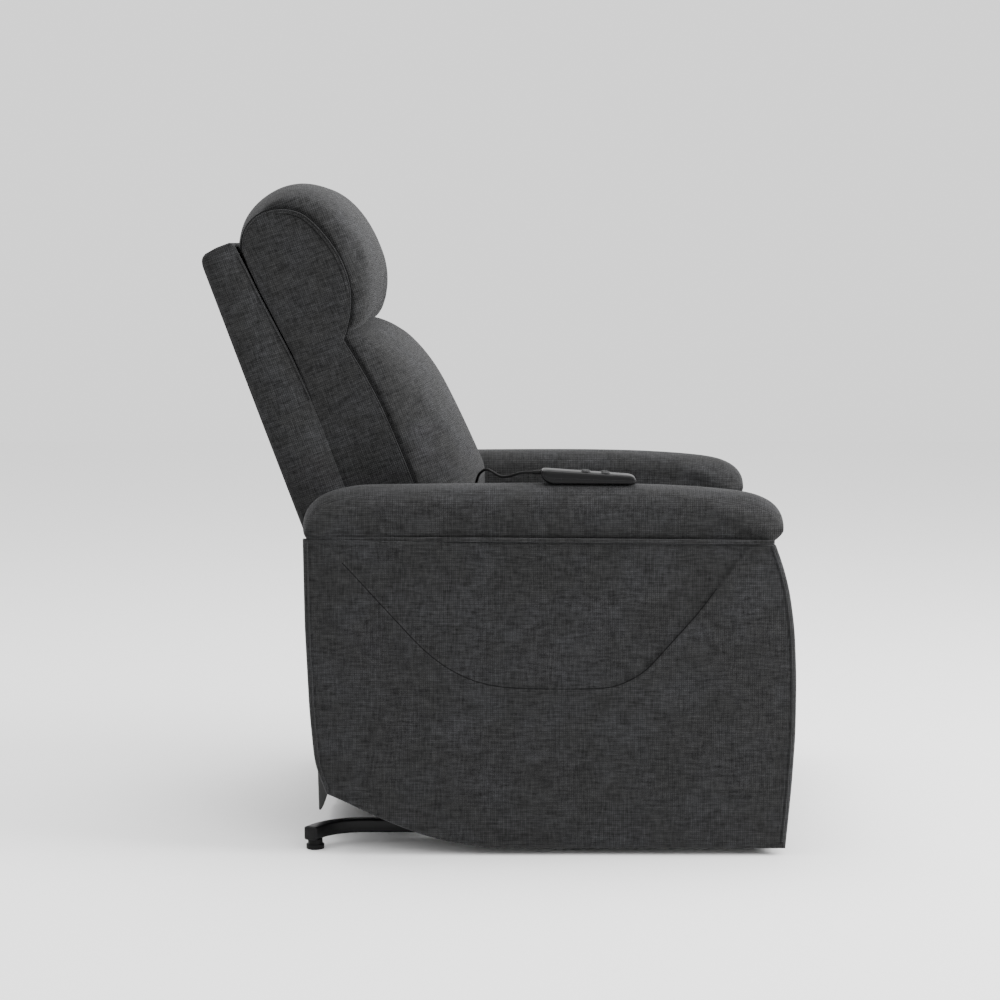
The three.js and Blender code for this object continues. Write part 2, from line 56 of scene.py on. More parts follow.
# ---- shader expressions ---------------------------------------------------------------------
class Graph:
    """One material's node tree, with a single method that adds any node."""

    def __init__(self, name: str) -> None:
        """Starts an empty node material.

        Args:
            name: the material's name.
        """
        self.material = bpy.data.materials.new(name)
        self.material.use_nodes = True
        self.tree = self.material.node_tree
        self.tree.nodes.clear()

    def node(self, kind: str, out: Union[int, str] = 0, inputs: Optional[dict[Any, Any]] = None,
             stops: Optional[Sequence[tuple[float, Any]]] = None, **settings: Any) -> "Wire":
        """Adds a node of any type.

        Args:
            kind: the node's type name without the ShaderNode prefix.
            out: which output to return.
            inputs: values or wires, by the input's name or number.
            stops: position and value of each stop of a colour ramp.
            settings: attributes that are set before anything is linked.

        Returns:
            The chosen output as a wire.
        """
        made = self.tree.nodes.new("ShaderNode" + kind)
        for key, value in settings.items():
            setattr(made, key, value)
        if stops is not None:
            ramp = made.color_ramp
            while len(ramp.elements) < len(stops):
                ramp.elements.new(0.5)
            for element, (place, value) in zip(ramp.elements, stops):
                element.position = place
                element.color = value if isinstance(value, tuple) else (value, value, value, 1.0)
        for key, value in (inputs or {}).items():
            if isinstance(value, Wire):
                self.tree.links.new(value.socket, made.inputs[key])
            else:
                made.inputs[key].default_value = value
        return Wire(self, made.outputs[out] if made.outputs else None, made)

    def math(self, operation: str, *values: Union[float, "Wire"], clamp: bool = False) -> "Wire":
        """Adds a Math node for one operation on wires and numbers."""
        return self.node("Math", inputs=dict(enumerate(values)), operation=operation, use_clamp=clamp)

    def blend(self, amount: Union[float, "Wire"], low: Any, high: Any, mode: str = "MIX") -> "Wire":
        """Mixes two colours: low where amount is 0, high where it is 1."""
        return self.node("Mix", out=2, inputs={0: amount, 6: low, 7: high}, data_type="RGBA", blend_type=mode)


class Wire:
    """A node output that can be used in Python arithmetic."""

    def __init__(self, graph: Graph, socket: Any, owner: Any) -> None:
        """Wraps one output socket of a node in a graph."""
        self.graph, self.socket, self.owner = graph, socket, owner

    def _do(self, operation: str, *values: Any) -> "Wire":
        """Adds the Math node of an operator."""
        return self.graph.math(operation, *values)

    def __add__(self, other: Any) -> "Wire":
        """Sum."""
        return self._do("ADD", self, other)

    __radd__ = __add__

    def __sub__(self, other: Any) -> "Wire":
        """Difference."""
        return self._do("SUBTRACT", self, other)

    def __rsub__(self, other: Any) -> "Wire":
        """Difference with the wire second."""
        return self._do("SUBTRACT", other, self)

    def __mul__(self, other: Any) -> "Wire":
        """Product."""
        return self._do("MULTIPLY", self, other)

    __rmul__ = __mul__

    def __truediv__(self, other: Any) -> "Wire":
        """Quotient."""
        return self._do("DIVIDE", self, other)

    def __mod__(self, other: Any) -> "Wire":
        """Remainder, never negative."""
        return self._do("FLOORED_MODULO", self, other)

    def __pow__(self, other: Any) -> "Wire":
        """Power."""
        return self._do("POWER", self, other)

    def floor(self) -> "Wire":
        """Rounded down."""
        return self._do("FLOOR", self)

    def sin(self) -> "Wire":
        """Sine of radians."""
        return self._do("SINE", self)

    def clamped(self) -> "Wire":
        """Held between 0 and 1."""
        return self.graph.math("ADD", self, 0.0, clamp=True)


# ---- finishes ---------------------------------------------------------------------------------
Colour = tuple[float, float, float]


@dataclass(frozen=True)
class WovenCloth:
    """Linen-look upholstery: two sets of uneven threads with painted shade between them, and a soft cast of a
    second colour.
    """

    name: str
    base: Colour = (0.0098, 0.0098, 0.0098)
    cast: Colour = (0.0107, 0.0108, 0.0115)
    thread: float = 0.0033
    slub: float = 1.10
    relief: float = 0.0007
    sheen: float = 0.05

    def make(self) -> Any:
        """Builds the material from the piece's cloth map, in metres along each thread.

        Returns:
            The material.
        """
        g = Graph(self.name)
        uv = g.node("UVMap", uv_map="cloth")
        u = g.node("SeparateXYZ", out=0, inputs={0: uv})
        v = Wire(g, u.owner.outputs[1], u.owner)
        across, along = u / self.thread, v / self.thread
        over = (across.floor() + along.floor()) % 2.0
        round_u = (across * math.pi).sin()
        round_v = (along * math.pi).sin()
        warp, weft = round_u * round_u, round_v * round_v
        fine_u, fine_v = (across * math.pi * 2.0).sin(), (along * math.pi * 2.0).sin()
        woven = over * warp + (1.0 - over) * weft
        height = woven * 0.45 + warp * weft * 0.40 + (fine_u * fine_u + fine_v * fine_v) * 0.075

        def streak(fast: Wire, slow: Wire, seed: float) -> Wire:
            """Thread-wide, finger-long noise: fine across the threads and slow along them."""
            place = g.node("CombineXYZ", inputs={0: fast * 0.95, 1: slow * 0.15, 2: seed})
            return g.node("TexNoise", out="Fac", inputs={"Vector": place, "Scale": 1.0, "Detail": 3.0,
                                                           "Roughness": 0.6}, noise_dimensions="3D")

        upright, level = streak(across, along, 3.1), streak(along, across, 8.7)
        # Painted shade: the colour darkens where the weave lies low, between the threads; the slub streaks
        # are the yarn's own uneven tone.
        thread_shade_and_slub = (0.62 + height * 1.00) * (1.0 + self.slub * ((upright - 0.5) * 2.5 + (level - 0.5) * 2.9))
        spot = g.node("TexCoord", out="Object")
        cloud = g.node("TexNoise", out="Fac", inputs={"Vector": spot, "Scale": 16.0, "Detail": 3.0,
                                                        "Roughness": 0.55})
        mottled = g.node("ValToRGB", inputs={0: cloud}, stops=[(0.40, 0.0), (0.66, 1.0)])
        dye = g.blend(mottled, (*self.base, 1.0), (*self.cast, 1.0))
        lit = g.node("VectorMath", inputs={0: dye, "Scale": thread_shade_and_slub * (0.72 + cloud * 0.56)}, operation="SCALE")
        bump = g.node("Bump", inputs={"Height": height + (upright + level) * 0.9, "Distance": self.relief,
                                       "Strength": 0.85})
        surface = g.node("BsdfPrincipled", inputs={
            "Base Color": lit, "Roughness": 0.93, "Normal": bump, "Sheen Weight": self.sheen,
            "Sheen Roughness": 0.55, "Specular IOR Level": 0.22})
        surface.owner.inputs["Sheen Tint"].default_value = (0.92, 0.92, 0.95, 1.0)
        g.node("OutputMaterial", inputs={0: surface})
        return g.material


@dataclass(frozen=True)
class Coating:
    """Paint, moulding or bare metal: an even colour with a fine grain and slightly uneven gloss."""

    name: str
    base: Colour
    roughness: float
    metallic: float = 0.0
    grain: float = 900.0
    relief: float = 0.00006
    wear: float = 0.15
    specular: float = 0.5

    def make(self) -> Any:
        """Builds the material on object coordinates.

        Returns:
            The material.
        """
        g = Graph(self.name)
        spot = g.node("TexCoord", out="Object")
        fine = g.node("TexNoise", out="Fac", inputs={"Vector": spot, "Scale": self.grain, "Detail": 2.0})
        broad = g.node("TexNoise", out="Fac", inputs={"Vector": spot, "Scale": 22.0, "Detail": 4.0})
        colour = g.node("VectorMath", inputs={0: (*self.base,), "Scale": 1.0 + (broad - 0.5) * self.wear * 2.0
                                                + (fine - 0.5) * self.wear}, operation="SCALE")
        bump = g.node("Bump", inputs={"Height": fine, "Distance": self.relief, "Strength": 0.6})
        surface = g.node("BsdfPrincipled", inputs={
            "Base Color": colour, "Metallic": self.metallic, "Normal": bump,
            "Specular IOR Level": self.specular,
            "Roughness": (self.roughness + (broad - 0.5) * self.wear).clamped()})
        g.node("OutputMaterial", inputs={0: surface})
        return g.material


@dataclass(frozen=True)
class SawnWood:
    """Pale sawn timber with growth lines along the object's Y."""

    name: str
    light: Colour = (0.52, 0.38, 0.22)
    dark: Colour = (0.34, 0.22, 0.11)

    def make(self) -> Any:
        """Builds the material on object coordinates.

        Returns:
            The material.
        """
        g = Graph(self.name)
        spot = g.node("TexCoord", out="Object")
        drawn = g.node("Mapping", inputs={"Vector": spot, "Scale": (60.0, 4.0, 60.0)})
        rings = g.node("TexNoise", out="Fac", inputs={"Vector": drawn, "Scale": 1.0, "Detail": 6.0,
                                                        "Distortion": 0.6})
        lines = g.node("ValToRGB", inputs={0: rings}, stops=[(0.35, 0.0), (0.65, 1.0)])
        colour = g.blend(lines, (*self.dark, 1.0), (*self.light, 1.0))
        bump = g.node("Bump", inputs={"Height": rings, "Distance": 0.0003, "Strength": 0.5})
        surface = g.node("BsdfPrincipled", inputs={"Base Color": colour, "Roughness": 0.78, "Normal": bump})
        g.node("OutputMaterial", inputs={0: surface})
        return g.material


class Finish(Enum):
    """Every finish on the chair, with the record's slot that it belongs to."""

    CLOTH = ("upholstery", WovenCloth("charcoal_weave"))
    # Piping: the charcoal cloth made a little lighter, a painted highlight along the welt cords.
    PIPING = ("upholstery", WovenCloth("charcoal_piping_highlit", base=(0.0116, 0.0116, 0.0118), slub=0.3))
    # Seam lines: thin tubes far darker than the cloth, painted shade in the sewn seams.
    THREAD = ("upholstery", Coating("painted_seam_shade", (0.0038, 0.0038, 0.0040), 0.9, grain=2200.0, specular=0.1))
    DUST_CLOTH = ("dust_cloth", WovenCloth("dust_cloth", base=(0.0022, 0.0022, 0.0023),
                                             cast=(0.0026, 0.0026, 0.0028), thread=0.0009, slub=0.2,
                                             relief=0.0002, sheen=0.0))
    STEEL = ("frame_steel", Coating("black_powder_coat", (0.0040, 0.0040, 0.0043), 0.38, grain=1400.0,
                                     specular=0.16))
    BRIGHT = ("spring_steel", Coating("drawn_steel", (0.52, 0.52, 0.53), 0.28, metallic=1.0, grain=500.0))
    WOOD = ("timber", SawnWood("sawn_timber"))
    SHELL = ("housing_plastic", Coating("black_moulding", (0.0042, 0.0042, 0.0044), 0.36, grain=1800.0,
                                         specular=0.12))
    GLOSS = ("housing_plastic", Coating("smooth_moulding", (0.0085, 0.0085, 0.0090), 0.26, grain=2600.0,
                                         relief=0.00002, specular=0.20))
    RUBBER = ("rubber", Coating("black_rubber", (0.0036, 0.0036, 0.0036), 0.55, grain=1100.0, specular=0.12))
    KEY = ("rubber", Coating("key_rubber", (0.0075, 0.0075, 0.0080), 0.50, grain=1600.0, specular=0.15))

    @property
    def slot(self) -> str:
        """The record's material slot."""
        return self.value[0]

    @property
    def material(self) -> Any:
        """The finish's material, made once."""
        recipe = self.value[1]
        return bpy.data.materials.get(recipe.name) or recipe.make()


# ---- curves and surfaces --------------------------------------------------------------------------
def outline(*steps: Sequence[float], fine: int = 12) -> Array:
    """Points of a plane outline given in millimetres.

    Two numbers are a corner. Six are a cubic curve from the last point: its two controls and its end.

    Args:
        steps: the outline's steps in order.
        fine: how many pieces each curve is cut into.

    Returns:
        The points, in metres.
    """
    points = [np.array(steps[0], float)]
    t = np.linspace(0.0, 1.0, fine + 1)[1:, None]
    for step in steps[1:]:
        if len(step) == 2:
            points.append(np.array(step, float))
            continue
        a, (b, c, d) = points[-1].reshape(-1, 2)[-1], np.array(step, float).reshape(3, 2)
        points.append((1 - t) ** 3 * a + 3 * (1 - t) ** 2 * t * b + 3 * (1 - t) * t ** 2 * c + t ** 3 * d)
    return np.vstack(points) * MM


def spread(points: Array, count: int, closed: bool = False) -> Array:
    """Evenly spaced points along a line: linear interpolation over its length.

    Args:
        points: the line's corners, in two or three dimensions.
        count: how many points to return.
        closed: whether the line returns to its start.

    Returns:
        The resampled points.
    """
    line = np.vstack([points, points[:1]]) if closed else points
    length = np.concatenate([[0.0], np.cumsum(np.linalg.norm(np.diff(line, axis=0), axis=1))])
    where = np.linspace(0.0, length[-1], count, endpoint=not closed)
    return np.stack([np.interp(where, length, line[:, k]) for k in range(line.shape[1])], axis=1)


def smooth_line(points: Array, rounds: int, closed: bool = False) -> Array:
    """Rounds a line's corners: each point moves halfway to the middle of its neighbours, several times."""
    line = points.copy()
    for _ in range(rounds):
        mid = 0.5 * (np.roll(line, 1, axis=0) + np.roll(line, -1, axis=0))
        new = 0.5 * (line + mid)
        if not closed:
            new[0], new[-1] = line[0], line[-1]
        line = new
    return line


def ease(value: Array, low: float = 0.0, high: float = 1.0) -> Array:
    """Smooth step: 0 below low, 1 above high, a cubic between."""
    t = np.clip((value - low) / (high - low), 0.0, 1.0)
    return t * t * (3.0 - 2.0 * t)


def rolling(points: Array, seed: int, size: float, waves: int = 7) -> Array:
    """Low, soft unevenness of cloth over filling: a sum of seeded sine waves in three directions.

    Args:
        points: where it is wanted.
        seed: fixes the waves.
        size: the shortest wave's length in metres.
        waves: how many waves are added.

    Returns:
        A value from about -1 to 1 at each point.
    """
    draw = np.random.default_rng(seed)
    total = np.zeros(points.shape[:-1])
    for k in range(waves):
        direction = draw.normal(size=3)
        direction /= np.linalg.norm(direction)
        length = size * (1.0 + 2.2 * draw.random())
        total += np.sin(points @ direction * (2 * math.pi / length) + draw.random() * 7.0)
    return total / math.sqrt(waves) / 1.6


def grid_faces(rows: int, cols: int) -> tuple[Array, Array]:
    """The quads of a grid of points, and the numbers of its border points in order.

    Args:
        rows: how many rows the grid has.
        cols: how many columns.

    Returns:
        The quads and the border.
    """
    index = np.arange(rows * cols).reshape(rows, cols)
    corners = index[:-1, :-1], index[1:, :-1], index[1:, 1:], index[:-1, 1:]
    rim = np.concatenate([index[0, :-1], index[:-1, -1], index[-1, :0:-1], index[:0:-1, 0]])
    return np.stack(corners, axis=-1).reshape(-1, 4), rim


def panel_mesh(outer: Array, inner: Array) -> tuple[Array, Array]:
    """Closes two matching grids into one skin: front faces, back faces and a strip round the border.

    Args:
        outer: the outer grid, rows by columns by 3.
        inner: the inner grid of the same size.

    Returns:
        Vertices and quads.
    """
    rows, cols = outer.shape[:2]
    count = rows * cols
    quads, rim = grid_faces(rows, cols)
    after = np.roll(rim, -1)
    strip = np.stack([rim, after, after + count, rim + count], axis=-1)
    vertices = np.vstack([outer.reshape(-1, 3), inner.reshape(-1, 3)])
    return vertices, np.vstack([quads, quads[:, ::-1] + count, strip])


def backed_mesh(outer: Array, back: Array, middle: Array) -> tuple[Array, Array]:
    """Closes a fine grid with a plain back: a strip round the border and a fan to one middle point.

    Args:
        outer: the grid, rows by columns by 3.
        back: the same grid moved to the back plane; only its border is used.
        middle: the middle of the back.

    Returns:
        Vertices and quads, with triangles stored with a repeated corner.
    """
    rows, cols = outer.shape[:2]
    quads, rim = grid_faces(rows, cols)
    low = rows * cols + np.arange(len(rim))
    strip = np.stack([rim, np.roll(rim, -1), np.roll(low, -1), low], axis=-1)
    hub = np.full(len(rim), rows * cols + len(rim))
    fan = np.stack([low, np.roll(low, -1), hub, hub], axis=-1)
    vertices = np.vstack([outer.reshape(-1, 3), back.reshape(-1, 3)[rim], middle[None]])
    return vertices, np.vstack([quads, strip, fan])


def ring_mesh(rings: Array, capped: bool = True, looped: bool = False) -> tuple[Array, Array]:
    """Skins a stack of closed rings, and closes both ends with a fan to the ring's middle.

    Args:
        rings: stations by points by 3.
        capped: whether the ends are closed.
        looped: whether the last ring joins the first.

    Returns:
        Vertices and faces. The faces of the caps are triangles stored with a repeated corner.
    """
    stations, count = rings.shape[:2]
    index = np.arange(stations * count).reshape(stations, count)
    low = index if looped else index[:-1]
    high = np.roll(index, -1, axis=0) if looped else index[1:]
    quads = np.stack([low, np.roll(low, -1, axis=1), np.roll(high, -1, axis=1), high], axis=-1).reshape(-1, 4)
    vertices = rings.reshape(-1, 3)
    if capped and not looped:
        middles = rings[[0, -1]].mean(axis=1)
        first, last = len(vertices), len(vertices) + 1
        start = np.stack([np.full(count, first), np.roll(index[0], -1), index[0], index[0]], axis=-1)
        after = np.roll(index[-1], -1)
        end = np.stack([np.full(count, last), index[-1], after, after], axis=-1)
        vertices = np.vstack([vertices, middles])
        quads = np.vstack([quads, start, end])
    return vertices, quads


def tube(path: Array, section: Array, up: Sequence[float] = (0.0, 0.0, 1.0)) -> tuple[Array, Array]:
    """Carries a closed section along a path, square to it.

    Args:
        path: the centre line.
        section: the section's points across (first) and along `up` (second).
        up: a direction that is never along the path.

    Returns:
        Vertices and faces of the closed tube.
    """
    along = np.gradient(path, axis=0)
    along /= np.linalg.norm(along, axis=1)[:, None]
    side = np.cross(along, np.array(up, float))
    side /= np.linalg.norm(side, axis=1)[:, None]
    over = np.cross(side, along)
    rings = path[:, None] + section[None, :, :1] * side[:, None] + section[None, :, 1:] * over[:, None]
    return ring_mesh(rings)


def wrap_mesh(middle: Sequence[float], half: Sequence[float], profile: Sequence[Sequence[float]],
              stations: int = 30) -> tuple[Array, Array]:
    """Carries a thin closed profile round a rectangle, by scaling the rectangle to each profile point.

    Args:
        middle: the rectangle's middle, two numbers in millimetres.
        half: its half sizes.
        profile: rows of place along the rectangle's axis and how far each pair of sides is moved out.
        stations: how many stations each side has.

    Returns:
        Vertices as (first side, second side, along the axis) in metres, and faces.
    """
    t = np.linspace(-1, 1, stations, endpoint=False)
    one = np.ones(stations)
    sides = ((t, -one), (one, t), (-t, one), (-one, -t))
    square = np.vstack([np.stack(pair, axis=1) for pair in sides])
    rows = np.array(profile, float)
    size = np.array(half, float) + rows[:, 1:3]
    flat = np.array(middle, float) + square[:, None] * size[None]
    along = np.broadcast_to(rows[None, :, :1], (len(square), len(rows), 1))
    return ring_mesh(np.concatenate([flat, along], axis=-1) * MM, looped=True)


def round_section(radius: float, sides: int = 10, flat: float = 1.0) -> Array:
    """A circle, or an oval when `flat` is below 1, as a closed section."""
    turn = np.linspace(0.0, 2 * math.pi, sides, endpoint=False)
    return np.stack([radius * np.cos(turn), radius * flat * np.sin(turn)], axis=1)


def rounded_square(half: float, radius: float, corner: int = 5) -> Array:
    """A square section with round corners."""
    turn = np.linspace(0.0, math.pi / 2, corner)
    arc = np.stack([np.cos(turn), np.sin(turn)], axis=1) * radius + (half - radius)
    turns = [np.array([[1, 0], [0, 1]]), np.array([[0, 1], [-1, 0]]), np.array([[-1, 0], [0, -1]]),
             np.array([[0, -1], [1, 0]])]
    return np.vstack([arc @ turn_by for turn_by in turns])


def lathe(profile: Array, centre: Sequence[float], axis: int = 2, sides: int = 40) -> tuple[Array, Array]:
    """Turns a profile of radius and height about an axis through a centre.

    Args:
        profile: radius and height pairs, from one pole to the other.
        centre: a point on the axis.
        axis: 0, 1 or 2 for X, Y or Z.
        sides: how many facets go round.

    Returns:
        Vertices and faces.
    """
    turn = np.linspace(0.0, 2 * math.pi, sides, endpoint=False)
    rings = np.zeros((len(profile), sides, 3))
    rings[..., (axis + 1) % 3] = profile[:, :1] * np.cos(turn)
    rings[..., (axis + 2) % 3] = profile[:, :1] * np.sin(turn)
    rings[..., axis] = profile[:, 1:]
    return ring_mesh(rings + np.array(centre, float))


# ---- making pieces --------------------------------------------------------------------------------
def make_object(name: str, vertices: Array, faces: Array) -> Any:
    """Puts vertices and faces in a new object at the origin, with its faces turned outward.

    Args:
        name: the object's name.
        vertices: points in metres.
        faces: quads; one with a repeated last corner is a triangle.

    Returns:
        The object.
    """
    mesh = bpy.data.meshes.new(name)
    tidy = [face[:3] if face[2] == face[3] else face for face in faces.tolist()]
    mesh.from_pydata(vertices.tolist(), [], tidy)
    work = bmesh.new()
    work.from_mesh(mesh)
    bmesh.ops.remove_doubles(work, verts=work.verts, dist=1e-6)
    bmesh.ops.recalc_face_normals(work, faces=work.faces)
    work.to_mesh(mesh)
    work.free()
    mesh.shade_smooth()
    made = bpy.data.objects.new(name, mesh)
    bpy.context.scene.collection.objects.link(made)
    return made


def coordinates(thing: Any) -> Array:
    """The vertices of an object's mesh as an array."""
    flat = np.empty(len(thing.data.vertices) * 3)
    thing.data.vertices.foreach_get("co", flat)
    return flat.reshape(-1, 3)


def set_coordinates(thing: Any, points: Array) -> None:
    """Writes an array of vertices back into an object's mesh."""
    thing.data.vertices.foreach_set("co", points.ravel())
    thing.data.update()


def vertex_normals(thing: Any) -> Array:
    """The vertex normals of an object's mesh as an array."""
    flat = np.empty(len(thing.data.vertices) * 3)
    thing.data.vertex_normals.foreach_get("vector", flat)
    return flat.reshape(-1, 3)


def bake_modifiers(thing: Any) -> None:
    """Replaces an object's mesh by what its modifiers make of it."""
    graph = bpy.context.evaluated_depsgraph_get()
    done = bpy.data.meshes.new_from_object(thing.evaluated_get(graph))
    old = thing.data
    thing.modifiers.clear()
    thing.data = done
    bpy.data.meshes.remove(old)


def map_cloth(thing: Any, lean: float = 0.0) -> None:
    """Lays a cloth map over a mesh: each face takes the two directions it faces least, in metres.

    Args:
        thing: the object.
        lean: how far the piece's own up direction leans back, in radians.
    """
    mesh = thing.data
    layer = mesh.uv_layers.get("cloth") or mesh.uv_layers.new(name="cloth")
    points = coordinates(thing)
    turn = np.array([[math.cos(lean), 0, math.sin(lean)], [0, 1, 0], [-math.sin(lean), 0, math.cos(lean)]])
    local = points @ turn.T
    normals = np.empty(len(mesh.polygons) * 3)
    mesh.polygons.foreach_get("normal", normals)
    facing = np.abs(normals.reshape(-1, 3) @ turn.T).argmax(axis=1)
    corners = np.empty(len(mesh.loops), dtype=np.int32)
    mesh.loops.foreach_get("vertex_index", corners)
    counts = np.empty(len(mesh.polygons), dtype=np.int32)
    mesh.polygons.foreach_get("loop_total", counts)
    axis = np.repeat(facing, counts)
    place = local[corners]
    first = np.where(axis == 0, place[:, 1], place[:, 0])
    second = np.where(axis == 2, place[:, 1], place[:, 2])
    layer.data.foreach_set("uv", np.stack([first, second], axis=1).ravel())


def dress(thing: Any, finish: Finish, body: str, replaced: Iterable[str] = (), lean: float = 0.0) -> Any:
    """Gives a piece its finish, its body and the CAD nodes that it stands for.

    Args:
        thing: the object.
        finish: its finish.
        body: the body that it moves with.
        replaced: names of CAD nodes that it hides.
        lean: the lean of its cloth, in radians.

    Returns:
        The same object.
    """
    thing.data.materials.clear()
    thing.data.materials.append(finish.material)
    if finish in (Finish.CLOTH, Finish.PIPING, Finish.DUST_CLOTH):
        map_cloth(thing, lean)
    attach(thing, body)
    finish.slot
    if replaced:
        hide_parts(*replaced)
    log.info("piece %s on %s, %d faces", thing.name, body, len(thing.data.polygons))
    return thing


def dress_node(node: str, finish: Finish) -> None:
    """Gives a CAD node that stays in view its procedural finish."""
    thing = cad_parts[node]
    if not thing.material_slots:
        thing.data.materials.append(finish.material)
    for slot in thing.material_slots:
        slot.material = finish.material


# ---- padding --------------------------------------------------------------------------------------
@dataclass
class Filling:
    """How a padded cover swells over its filling in the cloth simulation."""

    voxel: float = 0.006
    pressure: float = 4.0
    cap: float = 0.022
    frames: int = 20
    soften: int = 6

    def swell(self, thing: Any) -> None:
        """Remeshes a closed cover, blows it up as cloth, caps how far it moves, and subdivides it once.

        Args:
            thing: the cover, slightly smaller than the finished cushion.
        """
        remesh = thing.modifiers.new("skin", "REMESH")
        remesh.mode, remesh.voxel_size = "VOXEL", self.voxel
        bake_modifiers(thing)
        relax = thing.modifiers.new("relax", "SMOOTH")
        relax.factor, relax.iterations = 0.5, self.soften
        bake_modifiers(thing)
        start = coordinates(thing)
        set_coordinates(thing, self.simulated(thing, start))
        relax = thing.modifiers.new("relax", "SMOOTH")
        relax.factor, relax.iterations = 0.5, 3
        rounder = thing.modifiers.new("rounder", "SUBSURF")
        rounder.levels = rounder.render_levels = 1
        bake_modifiers(thing)
        thing.data.shade_smooth()

    def simulated(self, thing: Any, start: Array) -> Array:
        """Runs the cloth and returns the capped vertices.

        Args:
            thing: the remeshed cover.
            start: its vertices before the cloth moves.

        Returns:
            The vertices after it, each moved no further than the cap.
        """
        cloth = thing.modifiers.new("cloth", "CLOTH")
        rules = cloth.settings
        rules.quality = 4
        rules.mass = 0.3
        rules.tension_stiffness = rules.compression_stiffness = 15.0
        rules.shear_stiffness = 6.0
        rules.bending_stiffness = 1.2
        rules.use_pressure = True
        rules.uniform_pressure_force = self.pressure
        rules.effector_weights.gravity = 0.0
        cloth.collision_settings.use_collision = False
        cloth.point_cache.frame_start, cloth.point_cache.frame_end = 1, self.frames
        scene = bpy.context.scene
        for tick in range(1, self.frames + 1):
            scene.frame_set(tick)
        done = thing.evaluated_get(bpy.context.evaluated_depsgraph_get())
        flat = np.empty(len(start) * 3)
        done.data.vertices.foreach_get("co", flat)
        move = flat.reshape(-1, 3) - start
        far = np.linalg.norm(move, axis=1)[:, None]
        thing.modifiers.clear()
        scene.frame_set(1)
        return start + move * np.minimum(1.0, self.cap / np.maximum(far, 1e-9))


def press_seam(thing: Any, path: Array, width: float, depth: float) -> None:
    """Pulls a groove into a padded mesh: each vertex sinks by depth * exp(-(distance / width)^2).

    Args:
        thing: the object.
        path: points along the seam.
        width: how far the pull reaches.
        depth: how deep it is.
    """
    points, normals = coordinates(thing), vertex_normals(thing)
    low, high = path.min(axis=0) - 3 * width, path.max(axis=0) + 3 * width
    near = np.nonzero(((points > low) & (points < high)).all(axis=1))[0]
    if not len(near):
        return
    a, b = path[:-1], path[1:]
    span = b - a
    square = np.maximum((span ** 2).sum(axis=1), 1e-12)
    best = np.full(len(near), 1.0)
    for first in range(0, len(near), 20000):
        some = points[near[first:first + 20000]]
        t = np.clip(((some[:, None] - a) * span).sum(axis=2) / square, 0.0, 1.0)
        away = np.linalg.norm(some[:, None] - (a + t[..., None] * span), axis=2)
        best[first:first + 20000] = away.min(axis=1)
    points[near] -= normals[near] * (depth * np.exp(-(best / width) ** 2))[:, None]
    set_coordinates(thing, points)


def onto(thing: Any, path: Array, proud: float = 0.0) -> Array:
    """Moves a path onto a mesh: each point goes to the plane of the nearest vertex, then out by `proud`.

    Args:
        thing: the object.
        path: points near the surface.
        proud: how far they stand out of it.

    Returns:
        The moved points, smoothed.
    """
    points, normals = coordinates(thing), vertex_normals(thing)
    nearest = np.array([((points - spot) ** 2).sum(axis=1).argmin() for spot in path])
    up = normals[nearest]
    drop = ((path - points[nearest]) * up).sum(axis=1)[:, None]
    return smooth_line(path - drop * up + proud * up, 3)


# ---- the leaning back's own frame -----------------------------------------------------------------
@dataclass(frozen=True)
class Lean:
    """The back's frame: u forward from the shell's rear face, w up along it, leaning by `angle`."""

    x: float = -0.323
    z: float = 0.521
    angle: float = math.radians(20.4)

    def place(self, u: Array, y: Array, w: Array) -> Array:
        """Turns back coordinates in metres into chair coordinates."""
        c, s = math.cos(self.angle), math.sin(self.angle)
        u, y, w = np.broadcast_arrays(u, y, w)
        return np.stack([self.x + u * c - w * s, y, self.z + u * s + w * c], axis=-1)


LEAN = Lean()


